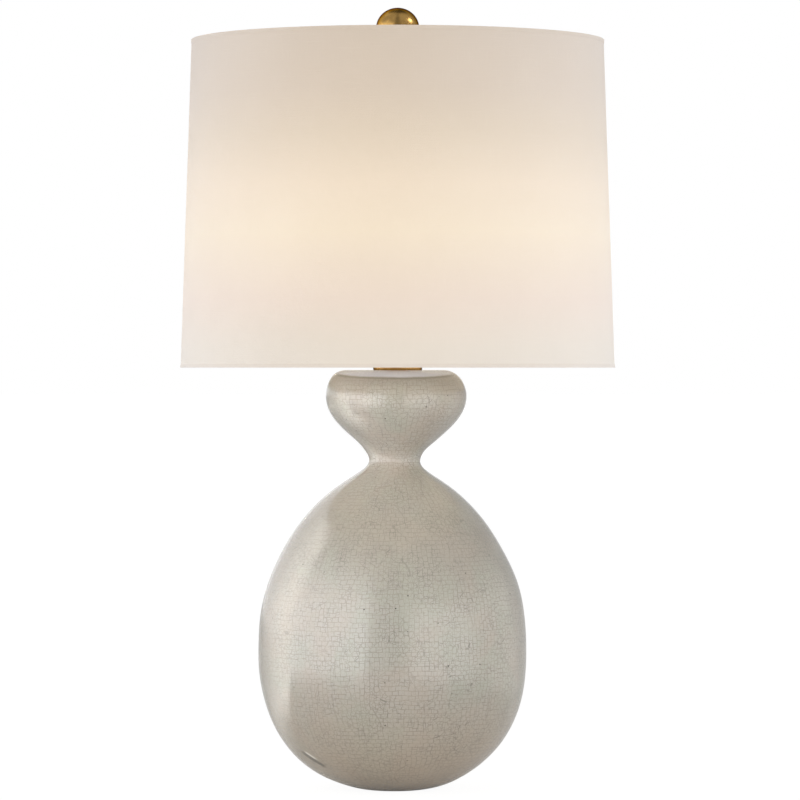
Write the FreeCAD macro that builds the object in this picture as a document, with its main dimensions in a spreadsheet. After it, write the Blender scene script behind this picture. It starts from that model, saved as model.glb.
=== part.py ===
import FreeCAD, Part
import os
from types import SimpleNamespace

import Sketcher
from FreeCAD import Placement, Rotation, Vector

# Table lamp with a double gourd base. Millimetres, +Z up, origin at the middle of the foot.

SIZES = [
    # Foot
    ("pad_radius", 38.0, "felt pad under the foot"),
    ("pad_thickness", 2.0, "felt pad"),
    ("foot_radius", 40.0, "flat ring of the ceramic foot"),
    ("recess_radius", 26.0, "recess in the foot for the nut"),
    ("recess_depth", 14.0, "recess in the foot for the nut"),
    ("floor_thickness", 8.0, "ceramic floor over the recess"),
    ("floor_hole_radius", 6.0, "hole for the rod in the floor"),
    # Outline of the gourd: radii, rises from one place to the next, and lengths of the
    # curves' handles
    ("foot_run", 19.6, "first handle, outwards"),
    ("foot_rise", 3.2, "first handle, upwards"),
    ("belly_radius", 125.0, "widest place of the lower bulb"),
    ("belly_height", 126.0, "widest place of the lower bulb above the table"),
    ("belly_under", 93.6, "handle below the belly"),
    ("belly_over", 40.0, "handle above the belly"),
    ("haunch_radius", 101.6, "point on the shoulder of the lower bulb"),
    ("haunch_rise", 99.4, "from the belly to that point"),
    ("haunch_lean", 0.548, "inward lean of the shoulder there, for each mm of height"),
    ("haunch_under", 35.6, "handle below that point"),
    ("haunch_over", 64.4, "handle above that point"),
    ("waist_radius", 23.9, "narrowest place"),
    ("waist_rise", 81.6, "from that point to the waist"),
    ("waist_under", 14.7, "handle below the waist"),
    ("waist_over", 16.3, "handle above the waist"),
    ("crown_radius", 65.8, "widest place of the upper bulb"),
    ("crown_rise", 60.4, "from the waist to the crown"),
    ("crown_under", 29.6, "handle below the crown"),
    ("crown_over", 8.4, "handle above the crown"),
    ("plateau_radius", 44.6, "flat top of the gourd"),
    ("plateau_reach", 15.1, "handle at the edge of the flat top"),
    ("plateau_rise", 23.6, "from the crown to the flat top"),
    ("gourd_wall", 7.0, "ceramic wall"),
    ("gourd_opening", 9.0, "radius of the hole in the top"),
    ("floor_spread", 26.0, "the cavity's floor is this much wider than the foot"),
    ("floor_curve", 8.0, "handle where the cavity leaves its floor, out and up"),
    # Cord hole in the rear of the foot
    ("cord_height", 9.0, "axis of the cord hole above the table"),
    ("cord_bore", 3.2, "radius of the grommet's bore"),
    ("grommet_wall", 1.2, "sleeve of the grommet"),
    ("grommet_length", 24.5, "whole grommet"),
    ("grommet_flange", 1.5, "flange of the grommet, thickness"),
    ("grommet_lip", 1.4, "flange beyond the sleeve"),
    ("grommet_inset", 1.0, "seat of the flange inside the round wall of the recess"),
    # Rod and its fasteners
    ("rod_radius", 4.8, "threaded lamp rod"),
    ("rod_bore", 3.3, "wireway in the rod"),
    ("rod_tail", 2.4, "rod below the foot nut"),
    ("thread_gap", 0.1, "between a thread and what screws on it"),
    ("nut_flats", 14.0, "nuts, across the flats"),
    ("foot_nut_height", 5.5, "foot nut"),
    ("lock_washer_radius", 8.5, "spring washer"),
    ("lock_washer_height", 1.6, "spring washer"),
    ("foot_washer_radius", 16.0, "large washer under the floor"),
    ("foot_washer_height", 1.5, "large washer under the floor"),
    ("washer_gap", 0.3, "between the rod and the hole of a washer"),
    # Brass between the gourd and the socket
    ("gasket_radius", 14.0, "seat gasket"),
    ("gasket_thickness", 1.5, "seat gasket"),
    ("cap_foot_radius", 17.6, "vase cap where it meets the gourd"),
    ("cap_bead_radius", 23.0, "widest place of the vase cap"),
    ("cap_bead_height", 7.0, "widest place above the gourd"),
    ("cap_height", 14.0, "vase cap"),
    ("cap_curve", 4.2, "handles of the cap's curves"),
    ("neck_radius", 9.5, "neck tube"),
    ("neck_height", 20.0, "neck tube"),
    ("locknut_height", 3.0, "nut over the harp saddle"),
    # Harp and its saddle
    ("saddle_thickness", 2.0, "saddle strip"),
    ("saddle_width", 12.0, "saddle strip"),
    ("saddle_disc", 10.5, "radius of the disc round the rod"),
    ("saddle_flat", 12.0, "half length of the level part"),
    ("saddle_rise", 13.0, "height of the sloping arms"),
    ("tab_height", 12.0, "upright tabs"),
    ("tab_width", 3.4, "upright tabs"),
    ("leg_offset", 27.0, "harp legs from the axis"),
    ("leg_length", 24.0, "straight part of a harp leg"),
    ("harp_wire", 2.0, "radius of the harp wire"),
    ("harp_half_width", 56.0, "harp at its widest"),
    ("harp_waist_height", 110.0, "widest place above the tabs"),
    ("harp_height", 228.8, "top plate's middle above the tabs"),
    ("harp_spring", 34.0, "handles at the legs and the widest place"),
    ("harp_shoulder", 78.0, "handle over the widest place"),
    ("harp_crest", 34.0, "handle at the top plate"),
    ("plate_length", 15.0, "half length of the top plate"),
    ("plate_width", 11.0, "top plate"),
    ("plate_thickness", 6.0, "top plate"),
    ("plate_grip", 7.0, "wire ends stop this far from the axis"),
    ("lift_gap", 0.2, "between a part that lifts off and its seat"),
    ("sleeve_gap", 0.5, "between a harp wire and its sleeve"),
    ("sleeve_wall", 1.4, "locking sleeve"),
    ("sleeve_length", 16.0, "locking sleeve"),
    ("stud_radius", 3.1, "finial stud"),
    ("stud_length", 14.0, "stud above its disc"),
    ("stud_disc_radius", 9.0, "disc under the shade"),
    ("stud_disc_height", 2.0, "disc under the shade"),
    ("stud_head_radius", 5.0, "riveted head under the plate"),
    ("stud_head_height", 1.5, "riveted head under the plate"),
    ("swivel_gap", 0.05, "running gap of the stud in the plate"),
    # Socket
    ("socket_wall", 0.8, "socket cap and hub"),
    ("hub_radius", 7.2, "hub of the socket cap"),
    ("hub_height", 6.0, "hub of the socket cap"),
    ("socket_cap_height", 11.5, "socket cap"),
    ("set_screw_radius", 1.5, "set screw in the hub"),
    ("set_screw_length", 5.0, "set screw in the hub"),
    ("nest_gap", 0.1, "between the sleeves of the socket"),
    ("shell_wall", 0.5, "socket shell"),
    ("liner_wall", 0.8, "cardboard liner"),
    ("screw_shell_wall", 0.4, "threaded shell"),
    ("screw_shell_height", 26.0, "threaded shell"),
    ("screw_gap", 0.3, "between the bulb's thread and the threaded shell"),
    ("shell_height", 52.0, "socket shell"),
    ("core_height", 17.0, "phenolic core"),
    ("core_gap", 0.6, "between the core and the liner"),
    ("terminal_flat", 9.6, "flats for the terminals from the axis"),
    ("terminal_radius", 2.6, "terminal screw head"),
    ("terminal_head", 2.2, "terminal screw head, thickness"),
    ("contact_height", 4.0, "centre contact above the core"),
    ("contact_thickness", 0.6, "centre contact"),
    ("contact_width", 5.0, "centre contact"),
    # Switch
    ("rotor_radius", 4.5, "switch rotor"),
    ("rotor_length", 11.0, "switch rotor"),
    ("shaft_radius", 1.8, "switch shaft"),
    ("shaft_hole_gap", 0.8, "between the shaft and the hole in the shell"),
    ("turn_gap", 0.3, "round the rotor"),
    ("knob_gap", 1.5, "between the shell and the knob"),
    ("knob_hub", 3.4, "radius of the knob's hub"),
    ("knob_length", 14.0, "knob"),
    ("knob_width", 14.0, "wing of the knob"),
    ("knob_thickness", 3.0, "wing of the knob"),
    # Bulb
    ("bulb_thread", 12.9, "radius of the bulb's cap"),
    ("bulb_tip_radius", 4.8, "contact tip"),
    ("bulb_tip_height", 1.5, "contact tip"),
    ("insulator_height", 4.0, "insulator cone"),
    ("insulator_radius", 9.0, "insulator cone at the cap"),
    ("bulb_cap_height", 20.0, "bulb's cap"),
    ("bulb_cap_wall", 0.4, "bulb's cap"),
    ("glass_wall", 0.8, "bulb's globe"),
    ("globe_radius", 30.0, "bulb's globe"),
    ("globe_rise", 52.0, "widest place of the globe over the cap"),
    ("stem_height", 34.0, "glass stem"),
    ("filament_wire", 0.4, "radius of the filament and its supports"),
    ("filament_span", 9.0, "half width of the filament"),
    ("filament_rise", 16.0, "filament above the stem"),
    # Shade
    ("shade_height", 305.6, "shade from edge to edge"),
    ("shade_bottom_radius", 203.3, "outside of the bottom hem"),
    ("shade_taper", 10.3, "the top hem's outside is this much narrower"),
    ("linen_thickness", 0.6, "linen"),
    ("liner_thickness", 0.5, "styrene liner"),
    ("hem_tape", 0.5, "folded hem, thickness"),
    ("hem_fold", 3.4, "hem on the outside"),
    ("hem_inside", 6.5, "hem on the inside"),
    ("cloth_gap", 0.15, "between the layers of the shade"),
    ("ring_wire", 1.6, "radius of the shade's rings and spokes"),
    ("washer_radius", 10.0, "spider washer"),
    ("washer_hole", 3.6, "spider washer's hole"),
    ("washer_thickness", 1.2, "spider washer"),
    ("spider_drop", 13.15, "spider washer below the shade's top edge"),
    ("spoke_bite", 0.5, "spoke welded into the washer's edge"),
    ("spoke_bend", 40.0, "where a spoke turns level, from the axis"),
    ("seam_angle", 3.4, "width of the rear seam, in degrees"),
    # Finial
    ("finial_radius", 20.2, "ball"),
    ("finial_half_height", 19.0, "ball"),
    ("finial_centre", 23.35, "middle of the ball above the collar's foot"),
    ("collar_radius", 8.5, "foot of the collar"),
    ("collar_height", 3.0, "foot of the collar"),
    ("collar_neck", 6.6, "neck under the ball"),
    ("insert_wall", 1.8, "threaded insert"),
    ("insert_length", 15.0, "threaded insert"),
]

QUARTER_ARC = 0.5523  # handle of a cubic curve that follows a quarter circle of radius 1
CAVITY_TRIM = 0.4  # the cavity's handles are shorter than the outside's by this share of the wall
BALL_START = 0.427  # the finial's ball ends 71 degrees below its equator: handle at the equator,
BALL_HANDLE = (0.729, 0.807)  # handle at that end,
BALL_FOOT = 0.9455  # and height of that end, as shares of the ball's half sizes
REAR = 90.0  # degrees from +X to the rear of the lamp
SPOKES = 3


class Length:
    """A length in millimetres, with the formula that ties it to the spreadsheet."""

    def __init__(self, value, formula):
        self.value = value
        self.formula = formula

    def __add__(self, other):
        other = length(other)
        return Length(self.value + other.value, f"({self.formula} + {other.formula})")

    def __sub__(self, other):
        other = length(other)
        return Length(self.value - other.value, f"({self.formula} - {other.formula})")

    def __mul__(self, other):
        other = length(other)
        return Length(self.value * other.value, f"({self.formula} * {other.formula})")

    def __truediv__(self, other):
        other = length(other)
        return Length(self.value / other.value, f"({self.formula} / {other.formula})")

    def __radd__(self, other):
        return length(other) + self

    def __rsub__(self, other):
        return length(other) - self

    def __rmul__(self, other):
        return length(other) * self

    def __neg__(self):
        return length(0) - self


class Curve:
    """A cubic curve of an outline: two handles, then the point where it ends."""

    def __init__(self, first_handle, last_handle, end):
        self.poles = [first_handle, last_handle, end]


def length(number):
    """A plain number as a Length."""
    if isinstance(number, Length):
        return number
    return Length(float(number), repr(float(number)))


doc = FreeCAD.newDocument("double_gourd_lamp")
sheet = doc.addObject("Spreadsheet::Sheet", "Sizes")
mm = SimpleNamespace()
for row, (alias, number, note) in enumerate(SIZES, start=1):
    sheet.set(f"A{row}", alias)
    sheet.set(f"B{row}", str(number))
    sheet.set(f"C{row}", note)
    sheet.setAlias(f"B{row}", alias)
    setattr(mm, alias, Length(number, f"Sizes.{alias}"))
doc.recompute()

nodes = []


# Helpers

def new_body(label):
    """An empty body that will become the node of that name."""
    body = doc.addObject("PartDesign::Body", label)
    body.Label = label
    nodes.append(body)
    return body


def new_sketch(body, role, lift=None):
    """A sketch on one of the body's own planes, lifted along the plane's normal."""
    sketch = body.newObject("Sketcher::SketchObject", f"{body.Name}_sketch")
    plane = [item for item in body.Origin.OriginFeatures if item.Role == role][0]
    sketch.AttachmentSupport = [(plane, "")]
    sketch.MapMode = "FlatFace"
    if lift is not None:
        sketch.setExpression("AttachmentOffset.Base.z", length(lift).formula)
    return sketch


def at(point):
    """A pair of lengths as a point of the sketch."""
    return Vector(length(point[0]).value, length(point[1]).value, 0)


def bind_point(sketch, edge, end, point):
    """Ties one point of the sketch to its two sizes."""
    for kind, size in (("DistanceX", length(point[0])), ("DistanceY", length(point[1]))):
        index = sketch.addConstraint(Sketcher.Constraint(kind, -1, 1, edge, end, size.value))
        sketch.setExpression(f"Constraints[{index}]", size.formula)


def draw_curve(sketch, start, curve):
    """Draws one cubic curve and ties its two handles."""
    poles = [start] + curve.poles
    spline = Part.BSplineCurve()
    spline.buildFromPolesMultsKnots([at(pole) for pole in poles], [4, 4], [0, 1], False, 3)
    edge = sketch.addGeometry(spline, False)
    for number, pole in enumerate(poles):
        knob = sketch.addGeometry(Part.Circle(at(pole), Vector(0, 0, 1), 1), True)
        sketch.addConstraint(
            Sketcher.Constraint("InternalAlignment:Sketcher::BSplineControlPoint", knob, 3, edge, number)
        )
        sketch.addConstraint(Sketcher.Constraint("Weight", knob, 1.0))
        if number in (1, 2):
            bind_point(sketch, knob, 3, pole)
    return edge


def draw_steps(sketch, start, steps, closed):
    """Draws lines and curves from point to point, each corner tied to its sizes."""
    edges = []
    here = start
    for step in steps:
        if isinstance(step, Curve):
            edges.append(draw_curve(sketch, here, step))
            after = step.poles[-1]
        else:
            edges.append(sketch.addGeometry(Part.LineSegment(at(here), at(step)), False))
            after = step
        bind_point(sketch, edges[-1], 1, here)
        here = after
    for before, after in zip(edges, edges[1:]):
        sketch.addConstraint(Sketcher.Constraint("Coincident", before, 2, after, 1))
    if closed:
        sketch.addConstraint(Sketcher.Constraint("Coincident", edges[-1], 2, edges[0], 1))
    else:
        bind_point(sketch, edges[-1], 2, here)


def draw_outline(sketch, start, *steps):
    """A closed outline. The last line goes back to the start by itself."""
    draw_steps(sketch, start, list(steps) + [start], True)


def draw_circle(sketch, centre, radius):
    """A circle with its centre and radius tied to their sizes."""
    radius = length(radius)
    edge = sketch.addGeometry(Part.Circle(at(centre), Vector(0, 0, 1), radius.value), False)
    bind_point(sketch, edge, 3, centre)
    index = sketch.addConstraint(Sketcher.Constraint("Radius", edge, radius.value))
    sketch.setExpression(f"Constraints[{index}]", radius.formula)


def add_turn(body, kind, start, *steps, degrees=None):
    """Turns an outline about the body's Z axis, as a Revolution or a Groove."""
    sketch = new_sketch(body, "XZ_Plane")
    draw_outline(sketch, start, *steps)
    feature = body.newObject(f"PartDesign::{kind}", f"{body.Name}_{kind}")
    feature.Profile = sketch
    feature.ReferenceAxis = (sketch, ["V_Axis"])
    feature.Angle = 360.0
    if degrees is not None:
        feature.setExpression("Angle", degrees.formula)
    return feature


def turned(label, start, *steps):
    """A piece turned about the lamp's axis."""
    body = new_body(label)
    add_turn(body, "Revolution", start, *steps)
    return body


def ring(label, inner, outer, base, height):
    """A flat ring or a tube."""
    top = base + height
    return turned(label, (inner, base), (outer, base), (outer, top), (inner, top))


def add_pad(body, kind, sketch, depth, midplane=False, reverse=False):
    """A Pad or a Pocket of the sketch."""
    feature = body.newObject(f"PartDesign::{kind}", f"{body.Name}_{kind}")
    feature.Profile = sketch
    feature.Midplane = midplane
    feature.Reversed = reverse
    feature.setExpression("Length", length(depth).formula)
    return feature


def add_block(body, kind, corners, width, role="XZ_Plane", lift=None):
    """An outline padded or cut to both sides of its plane."""
    sketch = new_sketch(body, role, lift)
    draw_outline(sketch, *corners)
    return add_pad(body, kind, sketch, width, midplane=True)


def add_round(body, kind, role, centre, radius, depth, lift=None, reverse=False):
    """A round boss or hole, square to the named plane."""
    sketch = new_sketch(body, role, lift)
    draw_circle(sketch, centre, radius)
    return add_pad(body, kind, sketch, depth, reverse=reverse)


def add_wire(body, radius, start, *steps):
    """A round wire along a path in the XZ plane, which leaves its start upwards."""
    path = new_sketch(body, "XZ_Plane")
    draw_steps(path, start, steps, False)
    section = new_sketch(body, "XY_Plane", start[1])
    draw_circle(section, (start[0], 0), radius)
    pipe = body.newObject("PartDesign::AdditivePipe", f"{body.Name}_pipe")
    pipe.Profile = section
    pipe.Spine = path
    return pipe


def hex_nut(label, base, height):
    """A hexagonal nut on the rod."""
    prism = doc.addObject("Part::Prism", f"{label}_hexagon")
    prism.Polygon = 6
    prism.setExpression("Circumradius", (mm.nut_flats / 3 ** 0.5).formula)
    prism.setExpression("Height", height.formula)
    bore = doc.addObject("Part::Cylinder", f"{label}_bore")
    bore.setExpression("Radius", (mm.rod_radius + mm.thread_gap).formula)
    bore.setExpression("Height", height.formula)
    nut = doc.addObject("Part::Cut", label)
    nut.Base = prism
    nut.Tool = bore
    nut.Label = label
    nut.setExpression("Placement.Base.z", base.formula)
    nodes.append(nut)
    return nut


def place(body, x=0, y=0, z=0, turn=None):
    """Sets a piece's place, tied to its sizes, and its rotation."""
    body.Placement = Placement(Vector(0, 0, 0), turn or Rotation())
    for axis, size in (("x", x), ("y", y), ("z", z)):
        if isinstance(size, Length):
            body.setExpression(f"Placement.Base.{axis}", size.formula)


# Levels up the lamp

recess_top = mm.pad_thickness + mm.recess_depth
floor_top = recess_top + mm.floor_thickness
foot_washer_base = recess_top - mm.foot_washer_height
lock_washer_base = foot_washer_base - mm.lock_washer_height
foot_nut_base = lock_washer_base - mm.foot_nut_height
rod_base = foot_nut_base - mm.rod_tail
haunch_height = mm.belly_height + mm.haunch_rise
waist_height = haunch_height + mm.waist_rise
crown_height = waist_height + mm.crown_rise
gourd_top = crown_height + mm.plateau_rise
gasket_top = gourd_top + mm.gasket_thickness
cap_top = gourd_top + mm.cap_height
saddle_base = cap_top + mm.neck_height
saddle_top = saddle_base + mm.saddle_thickness
socket_base = saddle_top + mm.locknut_height
hub_top = socket_base + mm.hub_height
core_base = hub_top + mm.socket_wall
core_top = core_base + mm.core_height
socket_rim = socket_base + mm.socket_cap_height
tab_base = saddle_base + mm.saddle_rise
tab_top = tab_base + mm.saddle_thickness + mm.tab_height
leg_base = tab_top + mm.lift_gap
plate_middle = leg_base + mm.harp_height
plate_base = plate_middle - mm.plate_thickness / 2
plate_top = plate_middle + mm.plate_thickness / 2
stud_disc_top = plate_top + mm.swivel_gap + mm.stud_disc_height
stud_top = stud_disc_top + mm.stud_length
spider_base = stud_disc_top + mm.lift_gap
finial_base = spider_base + mm.washer_thickness + mm.lift_gap
shade_base = spider_base + mm.spider_drop - mm.shade_height


# Ceramic base

def gourd_side(wall):
    """Curves from the foot to the edge of the flat top, as deep in the ceramic as wall says."""
    trim = CAVITY_TRIM * wall
    belly = (mm.belly_radius - wall, mm.belly_height)
    haunch = (mm.haunch_radius - wall, haunch_height - mm.haunch_lean * wall)
    waist = (mm.waist_radius - wall, waist_height)
    crown = (mm.crown_radius - wall, crown_height)
    plateau = (mm.plateau_radius, gourd_top - wall)
    haunch_in = (haunch[0] + mm.haunch_lean * mm.haunch_under, haunch[1] - mm.haunch_under)
    haunch_out = (haunch[0] - mm.haunch_lean * mm.haunch_over, haunch[1] + mm.haunch_over)
    belly_in = (belly[0], belly[1] - mm.belly_under + trim)
    belly_out = (belly[0], belly[1] + mm.belly_over - trim)
    waist_in = (waist[0], waist[1] - mm.waist_under - trim)
    waist_out = (waist[0], waist[1] + mm.waist_over + trim)
    crown_in = (crown[0], crown[1] - mm.crown_under + trim)
    crown_out = (crown[0], crown[1] + mm.crown_over - trim)
    plateau_in = (plateau[0] + mm.plateau_reach - trim, plateau[1])
    return belly_in, belly, [
        Curve(belly_out, haunch_in, haunch),
        Curve(haunch_out, waist_in, waist),
        Curve(waist_out, crown_in, crown),
        Curve(crown_out, plateau_in, plateau),
    ]


def build_gourd():
    """Hollow ceramic gourd with its foot recess, top opening and cord hole."""
    body = new_body("gourd_body")
    belly_in, belly, upper = gourd_side(length(0))
    foot = (mm.foot_radius, mm.pad_thickness)
    add_turn(
        body,
        "Revolution",
        (length(0), recess_top),
        (mm.recess_radius, recess_top),
        (mm.recess_radius, mm.pad_thickness),
        foot,
        Curve((foot[0] + mm.foot_run, foot[1] + mm.foot_rise), belly_in, belly),
        *upper,
        (length(0), gourd_top),
    )
    doc.recompute()
    belly_in, belly, upper = gourd_side(mm.gourd_wall)
    floor_edge = (mm.foot_radius + mm.floor_spread, floor_top)
    add_turn(
        body,
        "Groove",
        (length(0), recess_top),
        (mm.floor_hole_radius, recess_top),
        (mm.floor_hole_radius, floor_top),
        floor_edge,
        Curve((floor_edge[0] + mm.floor_curve, floor_edge[1] + mm.floor_curve), belly_in, belly),
        *upper,
        (mm.gourd_opening, gourd_top - mm.gourd_wall),
        (mm.gourd_opening, gourd_top),
        (length(0), gourd_top),
    )
    doc.recompute()
    tunnel = mm.cord_bore + mm.grommet_wall + mm.nest_gap
    add_round(body, "Pocket", "XZ_Plane", (0, mm.cord_height), tunnel, mm.belly_radius)


def build_foot():
    """Felt pad, cord grommet, rod and the fasteners in the foot."""
    turned(
        "felt_pad",
        (length(0), length(0)),
        (mm.pad_radius, length(0)),
        (mm.pad_radius, mm.pad_thickness),
        (length(0), mm.pad_thickness),
    )
    sleeve = mm.cord_bore + mm.grommet_wall
    flange = sleeve + mm.grommet_lip
    grommet = turned(
        "cord_grommet",
        (mm.cord_bore, length(0)),
        (flange, length(0)),
        (flange, mm.grommet_flange),
        (sleeve, mm.grommet_flange),
        (sleeve, mm.grommet_length),
        (mm.cord_bore, mm.grommet_length),
    )
    seat = mm.recess_radius - mm.grommet_inset - mm.grommet_flange
    place(grommet, y=seat, z=mm.cord_height, turn=Rotation(Vector(1, 0, 0), -90))
    rod_top = hub_top - mm.socket_wall
    ring("threaded_rod", mm.rod_bore, mm.rod_radius, rod_base, rod_top - rod_base)
    hole = mm.rod_radius + mm.washer_gap
    ring("foot_washer", hole, mm.foot_washer_radius, foot_washer_base, mm.foot_washer_height)
    ring("foot_lock_washer", hole, mm.lock_washer_radius, lock_washer_base, mm.lock_washer_height)
    hex_nut("foot_nut", foot_nut_base, mm.foot_nut_height)


def build_neck():
    """Gasket, brass vase cap, neck tube and locknut on the rod."""
    hole = mm.rod_radius + mm.washer_gap
    ring("seat_gasket", hole, mm.gasket_radius, gourd_top, mm.gasket_thickness)
    bead = (mm.cap_bead_radius, gourd_top + mm.cap_bead_height)
    crest = (mm.neck_radius, cap_top)
    turned(
        "vase_cap",
        (mm.gasket_radius + mm.nest_gap, gourd_top),
        (mm.cap_foot_radius, gourd_top),
        Curve(
            (mm.cap_foot_radius + mm.cap_curve, gourd_top + mm.cap_curve / 4),
            (bead[0], bead[1] - mm.cap_curve),
            bead,
        ),
        Curve((bead[0], bead[1] + mm.cap_curve), (crest[0] + mm.cap_curve, crest[1]), crest),
        (hole, cap_top),
        (hole, gasket_top),
        (mm.gasket_radius + mm.nest_gap, gasket_top),
    )
    ring("neck_tube", hole, mm.neck_radius, cap_top, mm.neck_height)
    hex_nut("saddle_locknut", saddle_top, mm.locknut_height)


def build_saddle():
    """Saddle strip with sloping arms and an upright tab at each end."""
    body = new_body("harp_saddle")
    tab_in = mm.leg_offset - mm.saddle_thickness / 2
    tab_out = mm.leg_offset + mm.saddle_thickness / 2
    arm_top = tab_base + mm.saddle_thickness
    half = [
        (mm.saddle_flat, saddle_base),
        (tab_out, tab_base),
        (tab_out, arm_top),
        (tab_in, arm_top),
        (mm.saddle_flat - mm.saddle_thickness / 2, saddle_top),
    ]
    mirrored = [(-x, z) for x, z in reversed(half)]
    add_block(body, "Pad", half + mirrored, mm.saddle_width)
    tab = [(tab_in, tab_base), (tab_out, tab_base), (tab_out, tab_top), (tab_in, tab_top)]
    add_block(body, "Pad", tab, mm.tab_width)
    add_block(body, "Pad", [(-x, z) for x, z in reversed(tab)], mm.tab_width)
    add_round(body, "Pad", "XY_Plane", (0, 0), mm.saddle_disc, mm.saddle_thickness, saddle_base)
    doc.recompute()
    hole = mm.rod_radius + mm.washer_gap
    add_round(body, "Pocket", "XY_Plane", (0, 0), hole, mm.saddle_thickness, saddle_top)


# Socket and switch

core_radius = mm.bulb_thread + mm.screw_gap + mm.screw_shell_wall - mm.core_gap
screw_shell_inner = mm.bulb_thread + mm.screw_gap
screw_shell_outer = screw_shell_inner + mm.screw_shell_wall
liner_inner = screw_shell_outer + mm.nest_gap
liner_outer = liner_inner + mm.liner_wall
shell_inner = liner_outer + mm.nest_gap
shell_outer = shell_inner + mm.shell_wall
rim_inner = shell_outer + mm.nest_gap
rim_outer = rim_inner + mm.socket_wall
shell_base = hub_top + mm.socket_wall + mm.nest_gap
switch_height = core_base + mm.core_height / 2


def build_socket():
    """Socket cap with its set screw, shell, liner, core, screw shell, contact and terminals."""
    bore = mm.rod_radius + mm.thread_gap
    cap = turned(
        "socket_cap",
        (bore, socket_base),
        (mm.hub_radius, socket_base),
        (mm.hub_radius, hub_top),
        (rim_outer - mm.socket_wall, hub_top),
        (rim_outer, hub_top + mm.socket_wall),
        (rim_outer, socket_rim),
        (rim_inner, socket_rim),
        (rim_inner, hub_top + mm.socket_wall),
        (bore, hub_top + mm.socket_wall),
    )
    doc.recompute()
    screw_height = socket_base + mm.hub_height / 2
    screw_hole = mm.set_screw_radius + mm.thread_gap
    side = (0, screw_height)
    add_round(cap, "Pocket", "YZ_Plane", side, screw_hole, mm.hub_radius, reverse=True)
    screw = new_body("socket_set_screw")
    start = mm.rod_radius + mm.thread_gap
    add_round(screw, "Pad", "YZ_Plane", side, mm.set_screw_radius, mm.set_screw_length, start)

    knob_hole = mm.shaft_radius + mm.shaft_hole_gap
    shell = ring("socket_shell", shell_inner, shell_outer, shell_base, mm.shell_height)
    doc.recompute()
    add_round(shell, "Pocket", "XZ_Plane", (0, switch_height), knob_hole, shell_outer, reverse=True)
    liner = ring("socket_liner", liner_inner, liner_outer, shell_base, mm.shell_height)
    doc.recompute()
    add_round(liner, "Pocket", "XZ_Plane", (0, switch_height), knob_hole, shell_outer, reverse=True)

    core = new_body("socket_core")
    add_round(core, "Pad", "XY_Plane", (0, 0), core_radius, mm.core_height, core_base)
    doc.recompute()
    for side in (1, -1):
        flat = [
            (side * mm.terminal_flat, core_base),
            (side * core_radius, core_base),
            (side * core_radius, core_top),
            (side * mm.terminal_flat, core_top),
        ]
        add_block(core, "Pocket", flat, 2 * core_radius)
        doc.recompute()
    rotor_bore = mm.rotor_radius + mm.turn_gap
    rotor_depth = mm.rotor_length + 2 * mm.turn_gap
    front = (0, switch_height)
    add_round(core, "Pocket", "XZ_Plane", front, rotor_bore, rotor_depth, core_radius)

    floor = mm.contact_thickness
    floor_hole = mm.contact_width + mm.contact_thickness
    turned(
        "socket_screw_shell",
        (floor_hole, core_top),
        (screw_shell_outer, core_top),
        (screw_shell_outer, core_top + mm.screw_shell_height),
        (screw_shell_inner, core_top + mm.screw_shell_height),
        (screw_shell_inner, core_top + floor),
        (floor_hole, core_top + floor),
    )
    reach = mm.contact_width
    tongue = core_top + mm.contact_height
    contact = [
        (-reach, core_top),
        (reach / 2, core_top),
        (reach / 2, core_top + floor),
        (-reach / 2, core_top + floor),
        (reach / 2, tongue - floor),
        (reach / 2, tongue),
        (-reach / 4, tongue),
        (-reach, core_top + floor),
    ]
    add_block(new_body("socket_contact"), "Pad", contact, mm.contact_width)
    terminals = new_body("socket_terminals")
    head = (mm.terminal_radius, mm.terminal_head)
    add_round(terminals, "Pad", "YZ_Plane", front, *head, lift=mm.terminal_flat)
    add_round(terminals, "Pad", "YZ_Plane", front, *head, lift=-mm.terminal_flat, reverse=True)


def build_switch():
    """Rotor in the core, its shaft out through the shell, and the knob, towards the front."""
    front = (0, switch_height)
    rotor_front = core_radius - mm.turn_gap
    knob_start = rim_outer + mm.knob_gap
    knob_end = knob_start + mm.knob_length
    rotor = new_body("switch_rotor")
    rotor_size = (mm.rotor_radius, mm.rotor_length)
    add_round(rotor, "Pad", "XZ_Plane", front, *rotor_size, lift=rotor_front, reverse=True)
    shaft = new_body("switch_shaft")
    shaft_size = (mm.shaft_radius, knob_end - rotor_front)
    add_round(shaft, "Pad", "XZ_Plane", front, *shaft_size, lift=rotor_front)
    knob = new_body("switch_knob")
    add_round(knob, "Pad", "XZ_Plane", front, mm.knob_hub, mm.knob_length, lift=knob_start)
    wing = [
        (-mm.knob_width / 2, -knob_end),
        (mm.knob_width / 2, -knob_end),
        (mm.knob_width / 2, -knob_start - mm.knob_thickness),
        (-mm.knob_width / 2, -knob_start - mm.knob_thickness),
    ]
    add_block(knob, "Pad", wing, mm.knob_thickness, "XY_Plane", switch_height)
    doc.recompute()
    bore = mm.shaft_radius + mm.thread_gap
    add_round(knob, "Pocket", "XZ_Plane", front, bore, mm.knob_length, lift=knob_end)


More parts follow.
